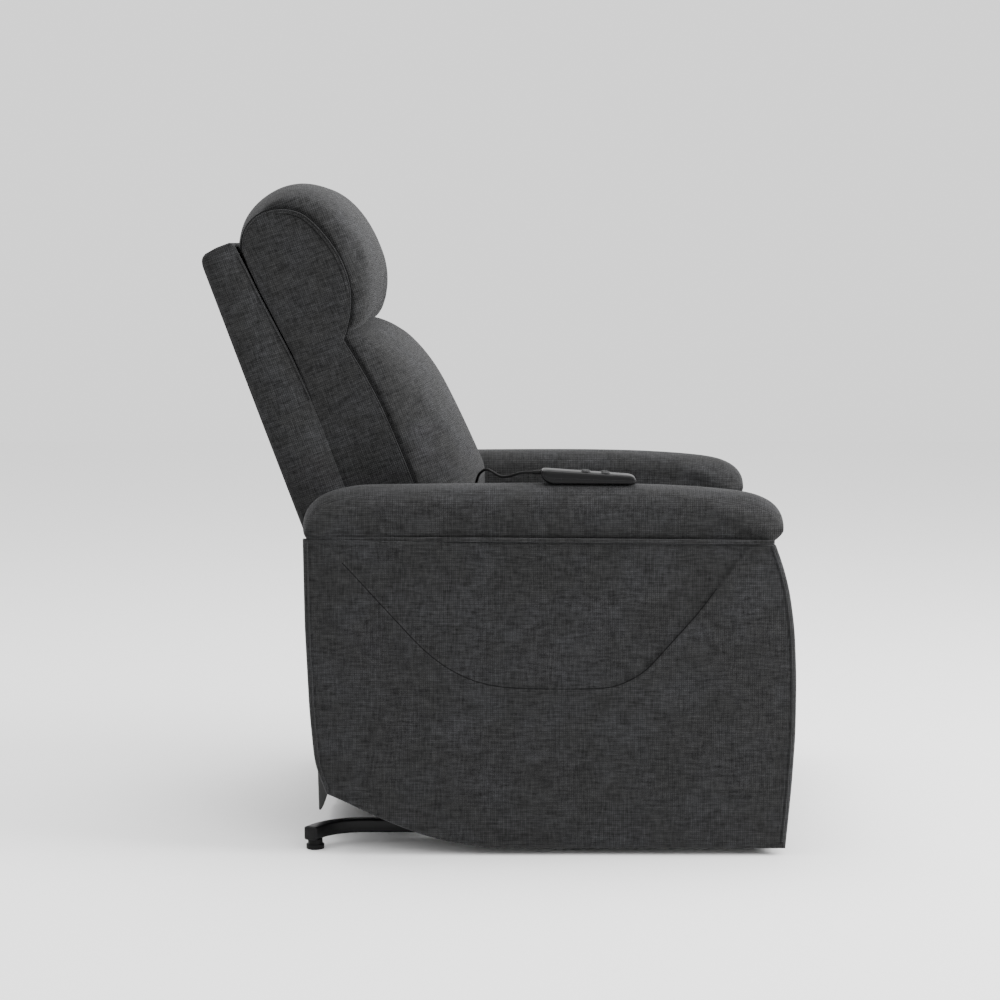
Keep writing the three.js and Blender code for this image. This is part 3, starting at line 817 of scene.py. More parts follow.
# ---- lift base --------------------------------------------------------------------------------------
@dataclass
class LiftBase:
    """Bent square-tube rails on levelling glides, cross bars, and the linkage that raises the chair."""

    rail_y: float = 0.2915
    rail_z: float = 0.028
    rail_front: float = 0.335
    bend_x: float = -0.220
    bend: float = 0.091
    turn: float = math.radians(62.0)
    tail: float = 0.018
    half: float = 0.011
    glides: dict[str, tuple[float, float]] = field(
        default_factory=lambda: {"front": (0.318, 0.2915), "rear": (-0.3003, 0.3398)})

    CAP = ((-0.004, 0.0092), (0.0, 0.0104), (0.0012, 0.0102), (0.0019, 0.0090))

    def rail_path(self, side: float, inset: float) -> Array:
        """Centre line of a rail: straight back, a bend outward, and a short straight tail."""
        angle = np.linspace(0.0, self.turn, 20)[1:]
        arc = np.stack([self.bend_x - self.bend * np.sin(angle),
                        self.rail_y + self.bend * (1 - np.cos(angle))], axis=1)
        ends = [[self.rail_front - inset, self.rail_y], [self.rail_front - 0.05, self.rail_y],
                [self.bend_x + 0.02, self.rail_y], [self.bend_x, self.rail_y]]
        out = np.array([-math.cos(self.turn), math.sin(self.turn)])
        line = np.vstack([ends, arc, [arc[-1] + out * 0.5 * self.tail, arc[-1] + out * (self.tail - inset)]])
        return np.column_stack([line[:, 0], side * line[:, 1], np.full(len(line), self.rail_z)])

    def end_cap(self, name: str, end: Array, before: Array) -> None:
        """The plug in a rail's end: a stack of square rings, each at its place past the end.

        Args:
            name: the cap's name.
            end: the rail's last point.
            before: the point before it.
        """
        out = end - before
        out /= np.linalg.norm(out)
        rings = []
        for past, half in self.CAP:
            section = rounded_square(half, 0.003)
            stub, _ = tube(np.array([end + out * (past - 0.001), end + out * past]), section)
            rings.append(stub[len(section):2 * len(section)])
        dress(make_object(name, *ring_mesh(np.array(rings))), Finish.SHELL, "base")

    def build(self) -> None:
        """Makes the rails, their end caps and the glides, and finishes the steel nodes."""
        for name, side in SIDES:
            path = self.rail_path(side, 0.002)
            rail = make_object(f"rail_tube_{name}", *tube(path, rounded_square(self.half, 0.003)))
            dress(rail, Finish.STEEL, "base", [f"base_rail_{name}"])
            self.end_cap(f"rail_cap_rear_{name}", path[-1], path[-2])
            self.end_cap(f"rail_cap_front_{name}", path[0], path[1])
            for end, (x, y) in self.glides.items():
                profile = outline((0.01, 0), (13.2, 0), (14.6, 0.2, 15, 0.8, 15, 1.8), (15, 6.6),
                                  (15, 7.8, 14.6, 8.2, 13.4, 8.4), (12.6, 8.5),
                                  (12.2, 8.8, 12.2, 9.2, 12.2, 9.6), (12.2, 15.6),
                                  (12.2, 16.4, 12, 16.6, 11.2, 16.6), (4, 16.7), (4, 30),
                                  (0.01, 30), fine=5)
                foot = make_object(f"levelling_glide_{end}_{name}", *lathe(profile, (x, side * y, 0.0)))
                dress(foot, Finish.RUBBER, f"glide_{end}_{name}", [f"glide_{end}_{name}"])
        for node in ("base_front_crossbar", "base_rear_crossbar", "lift_torque_tube"):
            dress_node(node, Finish.STEEL)
        for name, _ in SIDES:
            for node in ("base_bracket", "lift_arm", "guide_link"):
                dress_node(f"{node}_{name}", Finish.STEEL)
        dress_node("lift_motor", Finish.SHELL)
        dress_node("lift_spindle", Finish.BRIGHT)


# ---- arms -----------------------------------------------------------------------------------------
def coons(bottom: Array, top: Array, rear: Array, front: Array) -> Array:
    """Fills four border lines with a grid: the sum of both ruled surfaces minus the corner bilinear.

    Args:
        bottom: points from rear to front.
        top: points from rear to front, as many.
        rear: points from bottom to top.
        front: points from bottom to top, as many.

    Returns:
        The grid, columns along the bottom by rows up the sides.
    """
    s = np.linspace(0, 1, len(bottom))[:, None, None]
    t = np.linspace(0, 1, len(rear))[None, :, None]
    ruled = (1 - t) * bottom[:, None] + t * top[:, None] + (1 - s) * rear[None] + s * front[None]
    corners = (1 - s) * ((1 - t) * bottom[0] + t * top[0]) + s * ((1 - t) * bottom[-1] + t * top[-1])
    return ruled - corners


def border_distance(grid: Array) -> Array:
    """Distance of each grid point from the grid's border, measured along its rows and columns."""
    du = np.linalg.norm(np.diff(grid, axis=0), axis=-1)
    dv = np.linalg.norm(np.diff(grid, axis=1), axis=-1)
    u = np.concatenate([np.zeros((1, grid.shape[1])), np.cumsum(du, axis=0)])
    v = np.concatenate([np.zeros((grid.shape[0], 1)), np.cumsum(dv, axis=1)], axis=1)
    return np.minimum(np.minimum(u, u[-1:] - u), np.minimum(v, v[:, -1:] - v))


def crowd(count: int, share: float = 0.28) -> Array:
    """Values from 0 to 1 that crowd towards both ends: even steps mixed with a share of cosine steps."""
    t = np.linspace(0, 1, count)
    return (1 - share) * t + share * (0.5 - 0.5 * np.cos(math.pi * t))


def crowded(points: Array, count: int) -> Array:
    """Points along a line that crowd towards both ends, where an edge is rounded."""
    t = crowd(count)
    line = spread(points, 600)
    return np.stack([np.interp(t * 599, np.arange(600), line[:, k]) for k in range(line.shape[1])], axis=1)


def round_edge(distance: Array, radius: float) -> Array:
    """Height lost to a rounded edge at a distance from it: radius - sqrt(radius^2 - (radius - d)^2)."""
    inner = np.clip(radius - distance, 0.0, radius)
    return radius - np.sqrt(np.maximum(radius ** 2 - inner ** 2, 0.0))


@dataclass
class Arm:
    """One padded arm: outer panel with its flat pocket, inner panel, front post, pad and welts."""

    name: str
    side: float
    outer: float = 0.395
    outer_back: float = 0.374
    inner: float = 0.265
    inner_back: float = 0.283
    pad_mid: float = 0.332
    pad_half: float = 0.0685
    pad_drop: float = 0.055
    pad_top: float = 0.606

    FRONT = ((474, 11), (483, 111), (488.5, 200), (489, 292), (485.5, 372), (476.5, 437), (465, 480),
             (453, 509))

    def border(self) -> tuple[Array, Array, Array, Array]:
        """Bottom, top, rear and front lines of the outer panel, in the side plane."""
        bottom = outline((-278, 102), (-200, 70, -120, 11, 30, 11), (469, 11), fine=40)
        top = outline((-313.5, 521.6), (453, 511.6))
        rear = outline((-278, 102), (-297, 152), (-305, 240), (-311.5, 380), (-313.5, 521.6))
        front = outline(*self.FRONT[:-1], (453, 511.6))
        rear = smooth_line(spread(rear, 60), 8)
        front = smooth_line(spread(front, 60), 8)
        return bottom, top, rear, front

    @staticmethod
    def pocket() -> Array:
        """The side pocket's sewn edge, from the top rear round its bottom to the top front."""
        line = outline((-292, 515), (-276, 512), (-244, 479), (-138, 363), (-114, 337, -100, 326, -82, 314),
                       (-60, 299, -36, 290, -20, 286), (5, 280, 30, 278, 60, 278), (120, 277.5), (172, 278),
                       (188, 280, 196, 282, 206, 286), (222, 293, 234, 301, 245, 309), (328, 403), (384, 479),
                       (398, 498, 406, 508, 412, 513), fine=8)
        return smooth_line(spread(line, 240), 14)

    def outer_panel(self) -> None:
        """The big side panel: rounded edges, a slight crown and a pocket that lies a little lower."""
        bottom, top, rear, front = self.border()
        grid = coons(crowded(bottom, 330), crowded(top, 330), crowded(rear, 230), crowded(front, 230))
        near = border_distance(grid)
        edge = self.pocket()
        flat = grid.reshape(-1, 2)
        depth = np.full(len(flat), 1.0)
        for k in range(0, len(flat), 20000):
            depth[k:k + 20000] = np.linalg.norm(flat[k:k + 20000, None] - edge[None], axis=2).min(axis=1)
        depth = depth.reshape(near.shape)
        within = self.inside(grid, edge)
        signed = np.where(within, depth, -depth)
        solid = np.stack([grid[..., 0], np.zeros(near.shape), grid[..., 1]], axis=-1)
        under = np.linalg.norm(grid - grid[:, -1:], axis=-1)
        lone = border_distance(np.concatenate([grid, grid[:, -1:] + np.array([0.0, 0.3])], axis=1))[:, :-1]
        height = (-round_edge(lone, 0.007) - round_edge(under, 0.0022) - 0.0022 * (1 - ease(lone, 0.0, 0.09))
                  - 0.0024 * ease(signed, -0.0005, 0.0045) * (1 - 0.75 * ease(signed, 0.02, 0.12))
                  + 0.0010 * np.exp(-((signed + 0.0035) / 0.003) ** 2) + 0.0009 * rolling(solid, 11, 0.16))
        welt = np.minimum(np.linalg.norm(grid - grid[:1], axis=-1), np.linalg.norm(grid - grid[-1:], axis=-1))
        height -= 0.0010 * np.exp(-((welt - 0.0105) / 0.0016) ** 2)
        y = self.side * (self.outer + height)
        front_face = np.stack([grid[..., 0], y, grid[..., 1]], axis=-1)
        back = np.full(near.shape, self.side * self.outer_back)
        back_face = np.stack([grid[..., 0], back, grid[..., 1]], axis=-1)
        middle = np.array([0.10, self.side * self.outer_back, 0.27])
        panel = make_object(f"side_panel_{self.name}", *backed_mesh(front_face, back_face, middle))
        dress(panel, Finish.CLOTH, "chair", [f"arm_outer_panel_{self.name}"])
        self.piping("side_panel_welt_rear", spread(rear, 80)[2:-1], 0.0075, panel)
        self.piping("side_panel_welt_front", spread(front, 80)[2:-1], -0.0075, panel)
        # The pocket's sewn edge as a dark line: painted shade in the seam.
        line = np.column_stack([edge[:, 0], np.full(len(edge), self.side * self.outer), edge[:, 1]])
        self.cord_along(f"pocket_edge_shade_{self.name}", onto(panel, spread(line, 200)[12:-20], -0.0003), 0.0009,
                        finish=Finish.THREAD)

    @staticmethod
    def inside(grid: Array, edge: Array) -> Array:
        """Whether each grid point lies inside the closed loop of the pocket's edge: the even-odd rule."""
        x, z = grid[..., 0], grid[..., 1]
        count = np.zeros(x.shape, dtype=int)
        for (x0, z0), (x1, z1) in zip(edge, np.roll(edge, -1, axis=0)):
            crosses = (z0 > z) != (z1 > z)
            at = x0 + (z - z0) * (x1 - x0) / (z1 - z0 + 1e-12)
            count += crosses & (x < at)
        return count % 2 == 1

    def piping(self, label: str, line: Array, shift: float, panel: Any) -> None:
        """A thin welt that follows a panel edge at a small distance inside it."""
        path = np.column_stack([line[:, 0] + shift, np.full(len(line), self.side * self.outer), line[:, 1]])
        self.cord_along(f"{label}_{self.name}", onto(panel, path, -0.0003), 0.0014)

    def cord_along(self, label: str, path: Array, radius: float, flat: float = 1.0,
                   finish: Finish = Finish.PIPING) -> None:
        """A sewn cord of covered piping, lighter as a painted highlight, or a dark line of painted seam
        shade, along a path on the side face.
        """
        welt = make_object(label, *tube(path, round_section(radius, 8, flat), up=(0.0, self.side, 0.0)))
        dress(welt, finish, "chair")

    def inner_panel(self) -> None:
        """The flat upholstered panel beside the seat."""
        bottom = outline((-285, 110), (452, 110))
        top = outline((-300, 521.2), (424, 511.5))
        rear = outline((-285, 110), (-296, 150), (-300, 200), (-300, 521.2))
        front = outline((452, 110), (460, 227), (461, 292), (455, 375), (443, 440), (424, 511.5))
        front = smooth_line(front, 1)
        grid = coons(crowded(bottom, 90), crowded(top, 90), crowded(rear, 60), crowded(front, 60))
        near = border_distance(grid)
        solid = np.stack([grid[..., 0], np.zeros(near.shape), grid[..., 1]], axis=-1)
        loss = round_edge(near, 0.006) + 0.0012 * (1 - ease(near, 0, 0.08)) + 0.0009
        loss -= 0.0008 * rolling(solid, 31, 0.17)
        y = self.side * (self.inner + loss)
        face = np.stack([grid[..., 0], y, grid[..., 1]], axis=-1)
        depth = np.full(near.shape, self.side * self.inner_back)
        back = np.stack([grid[..., 0], depth, grid[..., 1]], axis=-1)
        panel = make_object(f"inner_panel_{self.name}", *panel_mesh(face, back))
        dress(panel, Finish.CLOTH, "chair", [f"arm_inner_panel_{self.name}"])

    def front_post(self) -> None:
        """The upholstered front face of the arm, bowed forward in the middle of its height."""
        line = smooth_line(spread(outline(*self.FRONT), 70), 6)
        line[:, 0] -= 0.0006
        line = line[line[:, 1] < 0.5102]
        inside, outside = 0.2655, self.outer_back - 0.0004
        y = inside + (outside - inside) * crowd(26, 0.3)
        line = crowded(line, 90)
        grid = np.stack(np.broadcast_arrays(y[:, None], line[None, :, 1]), axis=-1)
        near = border_distance(grid)
        lift = -round_edge(near, 0.007) - 0.002 * (1 - ease(near, 0, 0.04)) + 0.002
        solid = np.stack([np.zeros(near.shape), grid[..., 0], grid[..., 1]], axis=-1)
        x = line[None, :, 0] + np.minimum(lift + 0.0008 * rolling(solid, 41, 0.12) - 0.001, 0.0005)
        face = np.stack([x, self.side * grid[..., 0], grid[..., 1]], axis=-1)
        back = np.stack([np.broadcast_to(line[None, :, 0] - 0.0245, near.shape), self.side * grid[..., 0],
                         grid[..., 1]], axis=-1)
        post = make_object(f"front_post_{self.name}", *panel_mesh(face, back))
        dress(post, Finish.CLOTH, "chair", [f"arm_front_post_{self.name}"])

    def rear_panel(self) -> None:
        """The narrow upholstered panel that closes the arm behind, between its inner and outer panels."""
        z = crowded(np.array([[0.112, 0.0], [0.5213, 0.0]]), 90)[:, 0]
        y = crowded(np.array([[0.2834, 0.0], [0.3737, 0.0]]), 30)[:, 0]
        x = np.interp(z, np.array([112, 150, 200, 521]) * MM, np.array([-283, -293, -297, -298.5]) * MM)
        grid = np.stack(np.broadcast_arrays(y[:, None], z[None]), axis=-1)
        near = border_distance(grid)
        solid = np.stack([np.zeros(near.shape), grid[..., 0], grid[..., 1]], axis=-1)
        sunk = round_edge(near, 0.004) + 0.0015 * (1 - ease(near, 0, 0.03))
        sunk += 0.0006 * rolling(solid, 51, 0.12)
        face = np.stack([x[None] + sunk, self.side * grid[..., 0], grid[..., 1]], axis=-1)
        inside = np.broadcast_to(x[None] + 0.009, near.shape)
        back = np.stack([inside, self.side * grid[..., 0], grid[..., 1]], axis=-1)
        dress(make_object(f"arm_rear_panel_{self.name}", *panel_mesh(face, back)), Finish.CLOTH, "chair")

    def pad_rings(self, inset: float) -> Array:
        """Sections of the arm pad across the arm, from its rear to its nose.

        Each section is a flat bottom, a short upright band and a dome whose height falls with the
        2.5th power of the distance from its middle.

        Args:
            inset: how much smaller than finished the cover is made.

        Returns:
            Stations by points by 3.
        """
        roof = outline((-318, 523), (-322, 560, -315, 603, -207, 606), (120, 606),
                       (260, 606, 340, 604, 404, 597), (452, 590, 475, 570, 470, 540),
                       (468, 530, 462, 524, 452, 513), fine=30)
        x = -0.318 + (0.4695 + 0.318) * (0.5 - 0.5 * np.cos(np.linspace(0, math.pi, 90)))
        x = np.clip(x, roof[:, 0].min() + 0.0015, roof[:, 0].max() - 0.0012)
        upper = roof[roof[:, 0].argmin():roof[:, 0].argmax() + 1]
        top = np.interp(x, upper[:, 0], upper[:, 1]) - inset
        base = np.interp(x, [-0.313, 0.0, 0.452], [0.5225, 0.5215, 0.5165]) - 0.0005
        nose = np.clip((x - 0.444) / 0.0255, 0, 1)
        base = base + 0.020 * nose ** 2
        plan = np.minimum(1.0, 0.90 + 0.10 * ease(np.minimum(x + 0.3185, 0.4705 - x), 0.0, 0.03))
        half = (self.pad_half - inset) * plan
        across = np.concatenate([np.linspace(-1, 1, 33), np.full(5, 1.0),
                                 np.linspace(1, -1, 17), np.full(5, -1.0)])
        # 0 is the dome, 2 the flat bottom, and 1 and 3 the upright sides between them.
        kind = np.concatenate([np.zeros(33), np.ones(5), np.full(17, 2), np.full(5, 3)])
        rise = np.concatenate([np.zeros(33), np.linspace(0.9, 0.1, 5),
                               np.zeros(17), np.linspace(0.1, 0.9, 5)])
        y = half[:, None] * across[None]
        dome = self.pad_drop * np.abs(across[None]) ** 2.5 * np.clip((top - base) / 0.084, 0, 1)[:, None]
        roof_z = np.maximum(top[:, None] - dome, base[:, None] + 0.004)
        z = np.where(kind[None] == 0, roof_z, base[:, None])
        upright = base[:, None] + (roof_z - base[:, None]) * rise[None]
        z = np.where((kind[None] == 1) | (kind[None] == 3), upright, z)
        return np.stack([np.broadcast_to(x[:, None], z.shape), self.pad_mid + y, z], axis=-1)

    def pad(self) -> None:
        """The soft arm pad, with a sewn line along its side and a welt where it meets the panel."""
        rings = self.pad_rings(0.004)
        rings[..., 1] *= self.side
        cover = make_object(f"arm_cushion_{self.name}", *ring_mesh(rings))
        Filling(voxel=0.006, cap=0.007, soften=4).swell(cover)
        x = np.linspace(-0.296, 0.435, 150)
        level = 0.5565 - 0.0035 * (x + 0.306) / 0.761
        for out in (self.pad_half, -self.pad_half):
            seam = np.column_stack([x, np.full(150, self.side * (self.pad_mid + out)), level])
            press_seam(cover, seam, 0.0060, 0.0011)
        dress(cover, Finish.CLOTH, "chair", [f"arm_pad_{self.name}"])
        x = np.linspace(-0.3075, 0.4495, 200)
        drop = np.interp(x, [-0.313, 0.0, 0.452], [0.5228, 0.5220, 0.5180])
        out = self.side * (self.outer - 0.0046 + 0.0068 * ease(x, -0.20, 0.02))
        self.cord_along(f"arm_band_{self.name}", np.column_stack([x, out, drop]), 0.0036, 0.5, Finish.CLOTH)
        # A dark line under the front part of the band: painted shade where the pad meets the panel.
        low = np.column_stack([x, out - self.side * 0.0022, drop - 0.0040])[62:]
        self.cord_along(f"arm_band_stitch_{self.name}", low, 0.0006, finish=Finish.THREAD)

    def build(self) -> None:
        """Makes every piece of the arm."""
        self.outer_panel()
        self.inner_panel()
        self.front_post()
        self.rear_panel()
        self.pad()


# ---- seat ---------------------------------------------------------------------------------------
def swept_cover(name: str, profile: Array, half: float, crown: Callable[[Array, Array], Array],
                stations: int = 61) -> Any:
    """A closed cover with one side profile carried across the chair.

    Args:
        name: the object's name.
        profile: closed outline, two columns.
        half: half the width.
        crown: moves the points of a station, given the outline and how far out it is from 0 to 1.
        stations: how many sections are made.

    Returns:
        The cover.
    """
    t = np.linspace(-1, 1, stations)
    rings = np.stack([crown(profile, np.array(abs(k))) for k in t])
    y = np.broadcast_to((t * half)[:, None], rings.shape[:2])
    return make_object(name, *ring_mesh(np.stack([rings[..., 0], y, rings[..., 1]], axis=-1)))


@dataclass
class Seat:
    """The seat cushion, the frame under it and the drives that it hides."""

    half: float = 0.255
    bottom: float = 0.355

    def cushion(self) -> None:
        """The crowned seat cushion with a rolled front and boxed sides."""
        inset = 8.0
        profile = outline((-100 + inset, 366), (-96 + inset, 356), (460, 356), (474, 356, 476, 366, 476, 380),
                          (482, 410, 478, 448, 461, 465), (452, 476, 438, 479, 420, 478),
                          (300, 474, 100, 458, -80, 441), (-92, 440, -92, 434, -92, 424), fine=14)
        profile = spread(profile, 220, closed=True)

        def crown(line: Array, out: Array) -> Array:
            """Lowers the top and draws in the front towards the sides."""
            moved = line.copy()
            moved[:, 1] -= 0.020 * out ** 4 * np.clip((line[:, 1] - self.bottom) / 0.12, 0, 1)
            moved[:, 0] -= 0.008 * out ** 4 * np.clip((line[:, 0] - 0.40) / 0.08, 0, 1)
            return moved

        cover = swept_cover("seat_pad", profile, self.half - 0.007, crown)
        Filling(voxel=0.006, cap=0.022).swell(cover)
        points = coordinates(cover)
        points[:, 2] = np.maximum(points[:, 2], self.bottom + 0.0002)
        points[:, 1] = np.clip(points[:, 1], -0.2605, 0.2605)
        points[:, 0] = np.maximum(points[:, 0], -0.104)
        set_coordinates(cover, points)
        for side in (-1.0, 1.0):
            x = np.linspace(-0.08, 0.445, 120)
            upper = np.column_stack([x, np.full(120, side * 0.252), 0.424 + 0.036 * (x + 0.08) / 0.525])
            press_seam(cover, onto(cover, upper), 0.004, 0.0030)
            lower = np.column_stack([x, np.full(120, side * 0.252), np.full(120, 0.371)])
            press_seam(cover, onto(cover, lower), 0.004, 0.0025)
        y = np.linspace(-0.245, 0.245, 120)
        front = np.column_stack([np.full(120, 0.476), y, np.full(120, 0.405)])
        press_seam(cover, onto(cover, front), 0.004, 0.0034)
        dress(cover, Finish.CLOTH, "chair", ["seat_cushion"])

    def build(self) -> None:
        """Makes the cushion and finishes the seat frame."""
        self.cushion()
        for node in ("side_plate_left", "side_plate_right", "front_rail", "rear_bar", "motor_bar"):
            dress_node(node, Finish.STEEL)
        dress_node("seat_springs", Finish.BRIGHT)
        dress_node("rear_rail", Finish.WOOD)
        dress_node("control_box", Finish.SHELL)
        dress_node("recline_motor", Finish.SHELL)
        dress_node("recline_spindle", Finish.BRIGHT)


# ---- back ---------------------------------------------------------------------------------------
@dataclass
class Back:
    """The leaning back: padded shell, lumbar cushion, head cushion and the gussets at their sides."""

    half: float = 0.255
    shell_half: float = 0.258

    LUMBAR_SEAM = ((174, 277), (180, 250, 186, 222, 190, 190), (195, 160, 197, 120, 198, 91),
                   (200, 40, 200, 0, 200, -40), (199, -90), (196, -124))
    HEAD_SEAM = ((71, 466), (77, 492, 96, 512, 124, 514.5), (150, 515, 174, 505, 188, 487),
                 (203, 464, 214, 432, 218, 402), (220, 378, 219, 360, 214, 343),
                 (208, 322, 196, 300, 181, 281))

    @staticmethod
    def rounding(out: Array, power: float) -> Array:
        """Share of depth lost on the way to the side: 1 - (1 - out^power)^(1 / power)."""
        return 1.0 - np.maximum(1.0 - out ** power, 0.0) ** (1.0 / power)

    def lumbar(self) -> None:
        """The lower cushion: full and rounded in front, drawn in to the seam at each side."""
        profile = outline((104, 296), (176, 296), (198, 291, 210, 286, 219, 280),
                          (250, 262, 284, 200, 286, 120), (290, 60, 291, 0, 290, -46),
                          (290, -88, 289, -104, 281, -115), (275, -122, 268, -123, 258, -123),
                          (104, -123), fine=14)
        profile = spread(profile, 240, closed=True)

        def crown(line: Array, out: Array) -> Array:
            """Draws the front back to the side seam."""
            moved = line.copy()
            share = np.clip((line[:, 0] - 0.110) / 0.18, 0, 1)
            moved[:, 0] -= self.rounding(out, 2.2) * 0.088 * share
            return moved

        cover = swept_cover("lumbar_pad", profile, self.half - 0.007, crown)
        self.fill(cover, 0.024)
        self.draw_in(cover, self.LUMBAR_SEAM)
        dress(cover, Finish.CLOTH, "back", ["lumbar_cushion"], lean=LEAN.angle)

    def head(self) -> None:
        """The head cushion: a fat roll with a seam in an arc on each side."""
        profile = outline((59, 486), (62, 520, 104, 550, 163, 550), (226, 550, 264, 490, 264, 415),
                          (264, 348, 250, 300, 228, 286), (208, 280, 188, 281, 165, 283), (104, 283),
                          (84, 440), fine=14)
        profile = spread(profile, 240, closed=True)

        def crown(line: Array, out: Array) -> Array:
            """Draws the front and top in to the side seam."""
            moved = line.copy()
            moved[:, 0] -= self.rounding(out, 2.8) * 0.052 * np.clip((line[:, 0] - 0.120) / 0.15, 0, 1)
            moved[:, 1] -= 0.024 * out ** 7.0 * np.clip((line[:, 1] - 0.440) / 0.08, 0, 1)
            return moved

        cover = swept_cover("head_pad", profile, self.half - 0.007, crown)
        self.fill(cover, 0.022)
        self.draw_in(cover, self.HEAD_SEAM)
        dress(cover, Finish.CLOTH, "back", ["head_cushion"], lean=LEAN.angle)

    def fill(self, cover: Any, cap: float) -> None:
        """Stands an upright cover in the leaning frame and swells it."""
        points = coordinates(cover)
        set_coordinates(cover, LEAN.place(points[:, 0], points[:, 1], points[:, 2]))
        Filling(voxel=0.006, cap=cap).swell(cover)
        points = coordinates(cover)
        points[:, 1] = np.clip(points[:, 1], -self.half - 0.0005, self.half + 0.0005)
        set_coordinates(cover, points)

    @staticmethod
    def seam_line(*parts: Sequence[Sequence[float]]) -> Array:
        """A side seam in the back's frame, as evenly spaced points."""
        line = np.vstack([outline(*part, fine=16) for part in parts])
        return smooth_line(spread(line, 150), 5)

    def draw_in(self, cover: Any, steps: Sequence[Sequence[float]]) -> None:
        """Pulls a cushion in along its side seams."""
        line = self.seam_line(steps)
        for _, side in SIDES:
            path = LEAN.place(line[:, 0] + 0.003, np.full(len(line), side * (self.half + 0.001)), line[:, 1])
            press_seam(cover, onto(cover, path), 0.0050, 0.0045)

    def gusset(self, name: str, side: float) -> None:
        """The flat side panel that runs from the head to the seat behind both side seams.

        Args:
            name: left or right.
            side: 1 for the left and -1 for the right.
        """
        front = self.seam_line(self.lumbar_up(), self.head_up())
        rear = spread(outline((89, -124), (90, 141), (90.5, 207), (87.8, 278), (74.5, 391), (70.5, 440),
                              (70.5, 465.5)), 400)
        front, rear = crowded(front, 260), crowded(rear, 260)
        t = crowd(70)[:, None, None]
        grid = rear[None] * (1 - t) + front[None] * t
        reach = np.linalg.norm(grid - grid[:1], axis=-1)
        joined = 0.012 * (1 - ease(grid[..., 1], 0.13, 0.24))
        ends = np.minimum(np.linspace(0, 0.6, 260), np.linspace(0.02, 0.0, 260) * 8)[None]
        near = np.minimum(np.minimum(reach + joined, reach[-1:] - reach), ends)
        solid = np.stack([grid[..., 0], np.zeros(near.shape), grid[..., 1]], axis=-1)
        depth = 0.2568 - round_edge(near, 0.0045) + 0.0012 * ease(near, 0.0, 0.03)
        depth += 0.0008 * rolling(solid, 71, 0.13)
        outer = LEAN.place(grid[..., 0], side * np.minimum(depth, 0.2588), grid[..., 1])
        back = LEAN.place(grid[..., 0], np.full(near.shape, side * 0.2440), grid[..., 1])
        panel = make_object(f"back_gusset_{name}", *panel_mesh(outer, back))
        dress(panel, Finish.CLOTH, "back", lean=LEAN.angle)
        # Each side seam: a welt in the lighter piping cloth (painted highlight) with a dark line beside it
        # (painted shade); inside the head seam a topstitch line, drawn darker than the cloth as painted
        # shade.
        for label, part in (("lumbar", self.lumbar_up()), ("head", self.head_up())):
            line = self.seam_line(part)
            self.sew(f"{label}_seam_{name}", line, side * 0.2556, 0.0011, Finish.PIPING)
            self.sew(f"{label}_stitch_{name}", self.beside(line, 0.0024), side * 0.2540, 0.0009)
        inner = self.beside(self.seam_line(self.head_up()), -0.0065)[20:-40]
        self.sew(f"head_inner_seam_shade_{name}", inner, side * 0.2566, 0.0006, facets=6)

    @staticmethod
    def beside(line: Array, reach: float) -> Array:
        """A line moved to the right of its own direction, square to it."""
        along = np.gradient(line, axis=0)
        away = np.stack([along[:, 1], -along[:, 0]], axis=1) / np.linalg.norm(along, axis=1)[:, None]
        return line + away * reach

    @staticmethod
    def sew(label: str, line: Array, y: float, radius: float, finish: Finish = Finish.THREAD,
            facets: int = 8) -> None:
        """Lays a row of piping, or a dark line of painted seam shade, on a side of the back.

        Args:
            label: the row's name.
            line: its points in the back's frame.
            y: how far left of the middle it lies.
            radius: its radius.
            finish: painted seam shade or piping.
            facets: how many facets go round it.
        """
        path = LEAN.place(line[:, 0], np.full(len(line), y), line[:, 1])
        row = tube(path, round_section(radius, facets), up=(0, math.copysign(1.0, y), 0))
        dress(make_object(label, *row), finish, "back", lean=LEAN.angle)

    @staticmethod
    def turned(steps: Sequence[Sequence[float]]) -> list[tuple[float, ...]]:
        """The same outline run the other way: each curve keeps its controls in the opposite order."""
        ends = [tuple(step[-2:]) for step in steps]
        back: list[tuple[float, ...]] = [ends[-1]]
        for k in range(len(steps) - 1, 0, -1):
            inner = steps[k]
            back.append((*inner[2:4], *inner[0:2], *ends[k - 1]) if len(inner) == 6 else ends[k - 1])
        return back

    def lumbar_up(self) -> list[tuple[float, ...]]:
        """The lumbar seam from the seat upward."""
        return self.turned(self.LUMBAR_SEAM)

    def head_up(self) -> list[tuple[float, ...]]:
        """The head seam from the crease upward and over to the rear."""
        return self.turned(self.HEAD_SEAM)

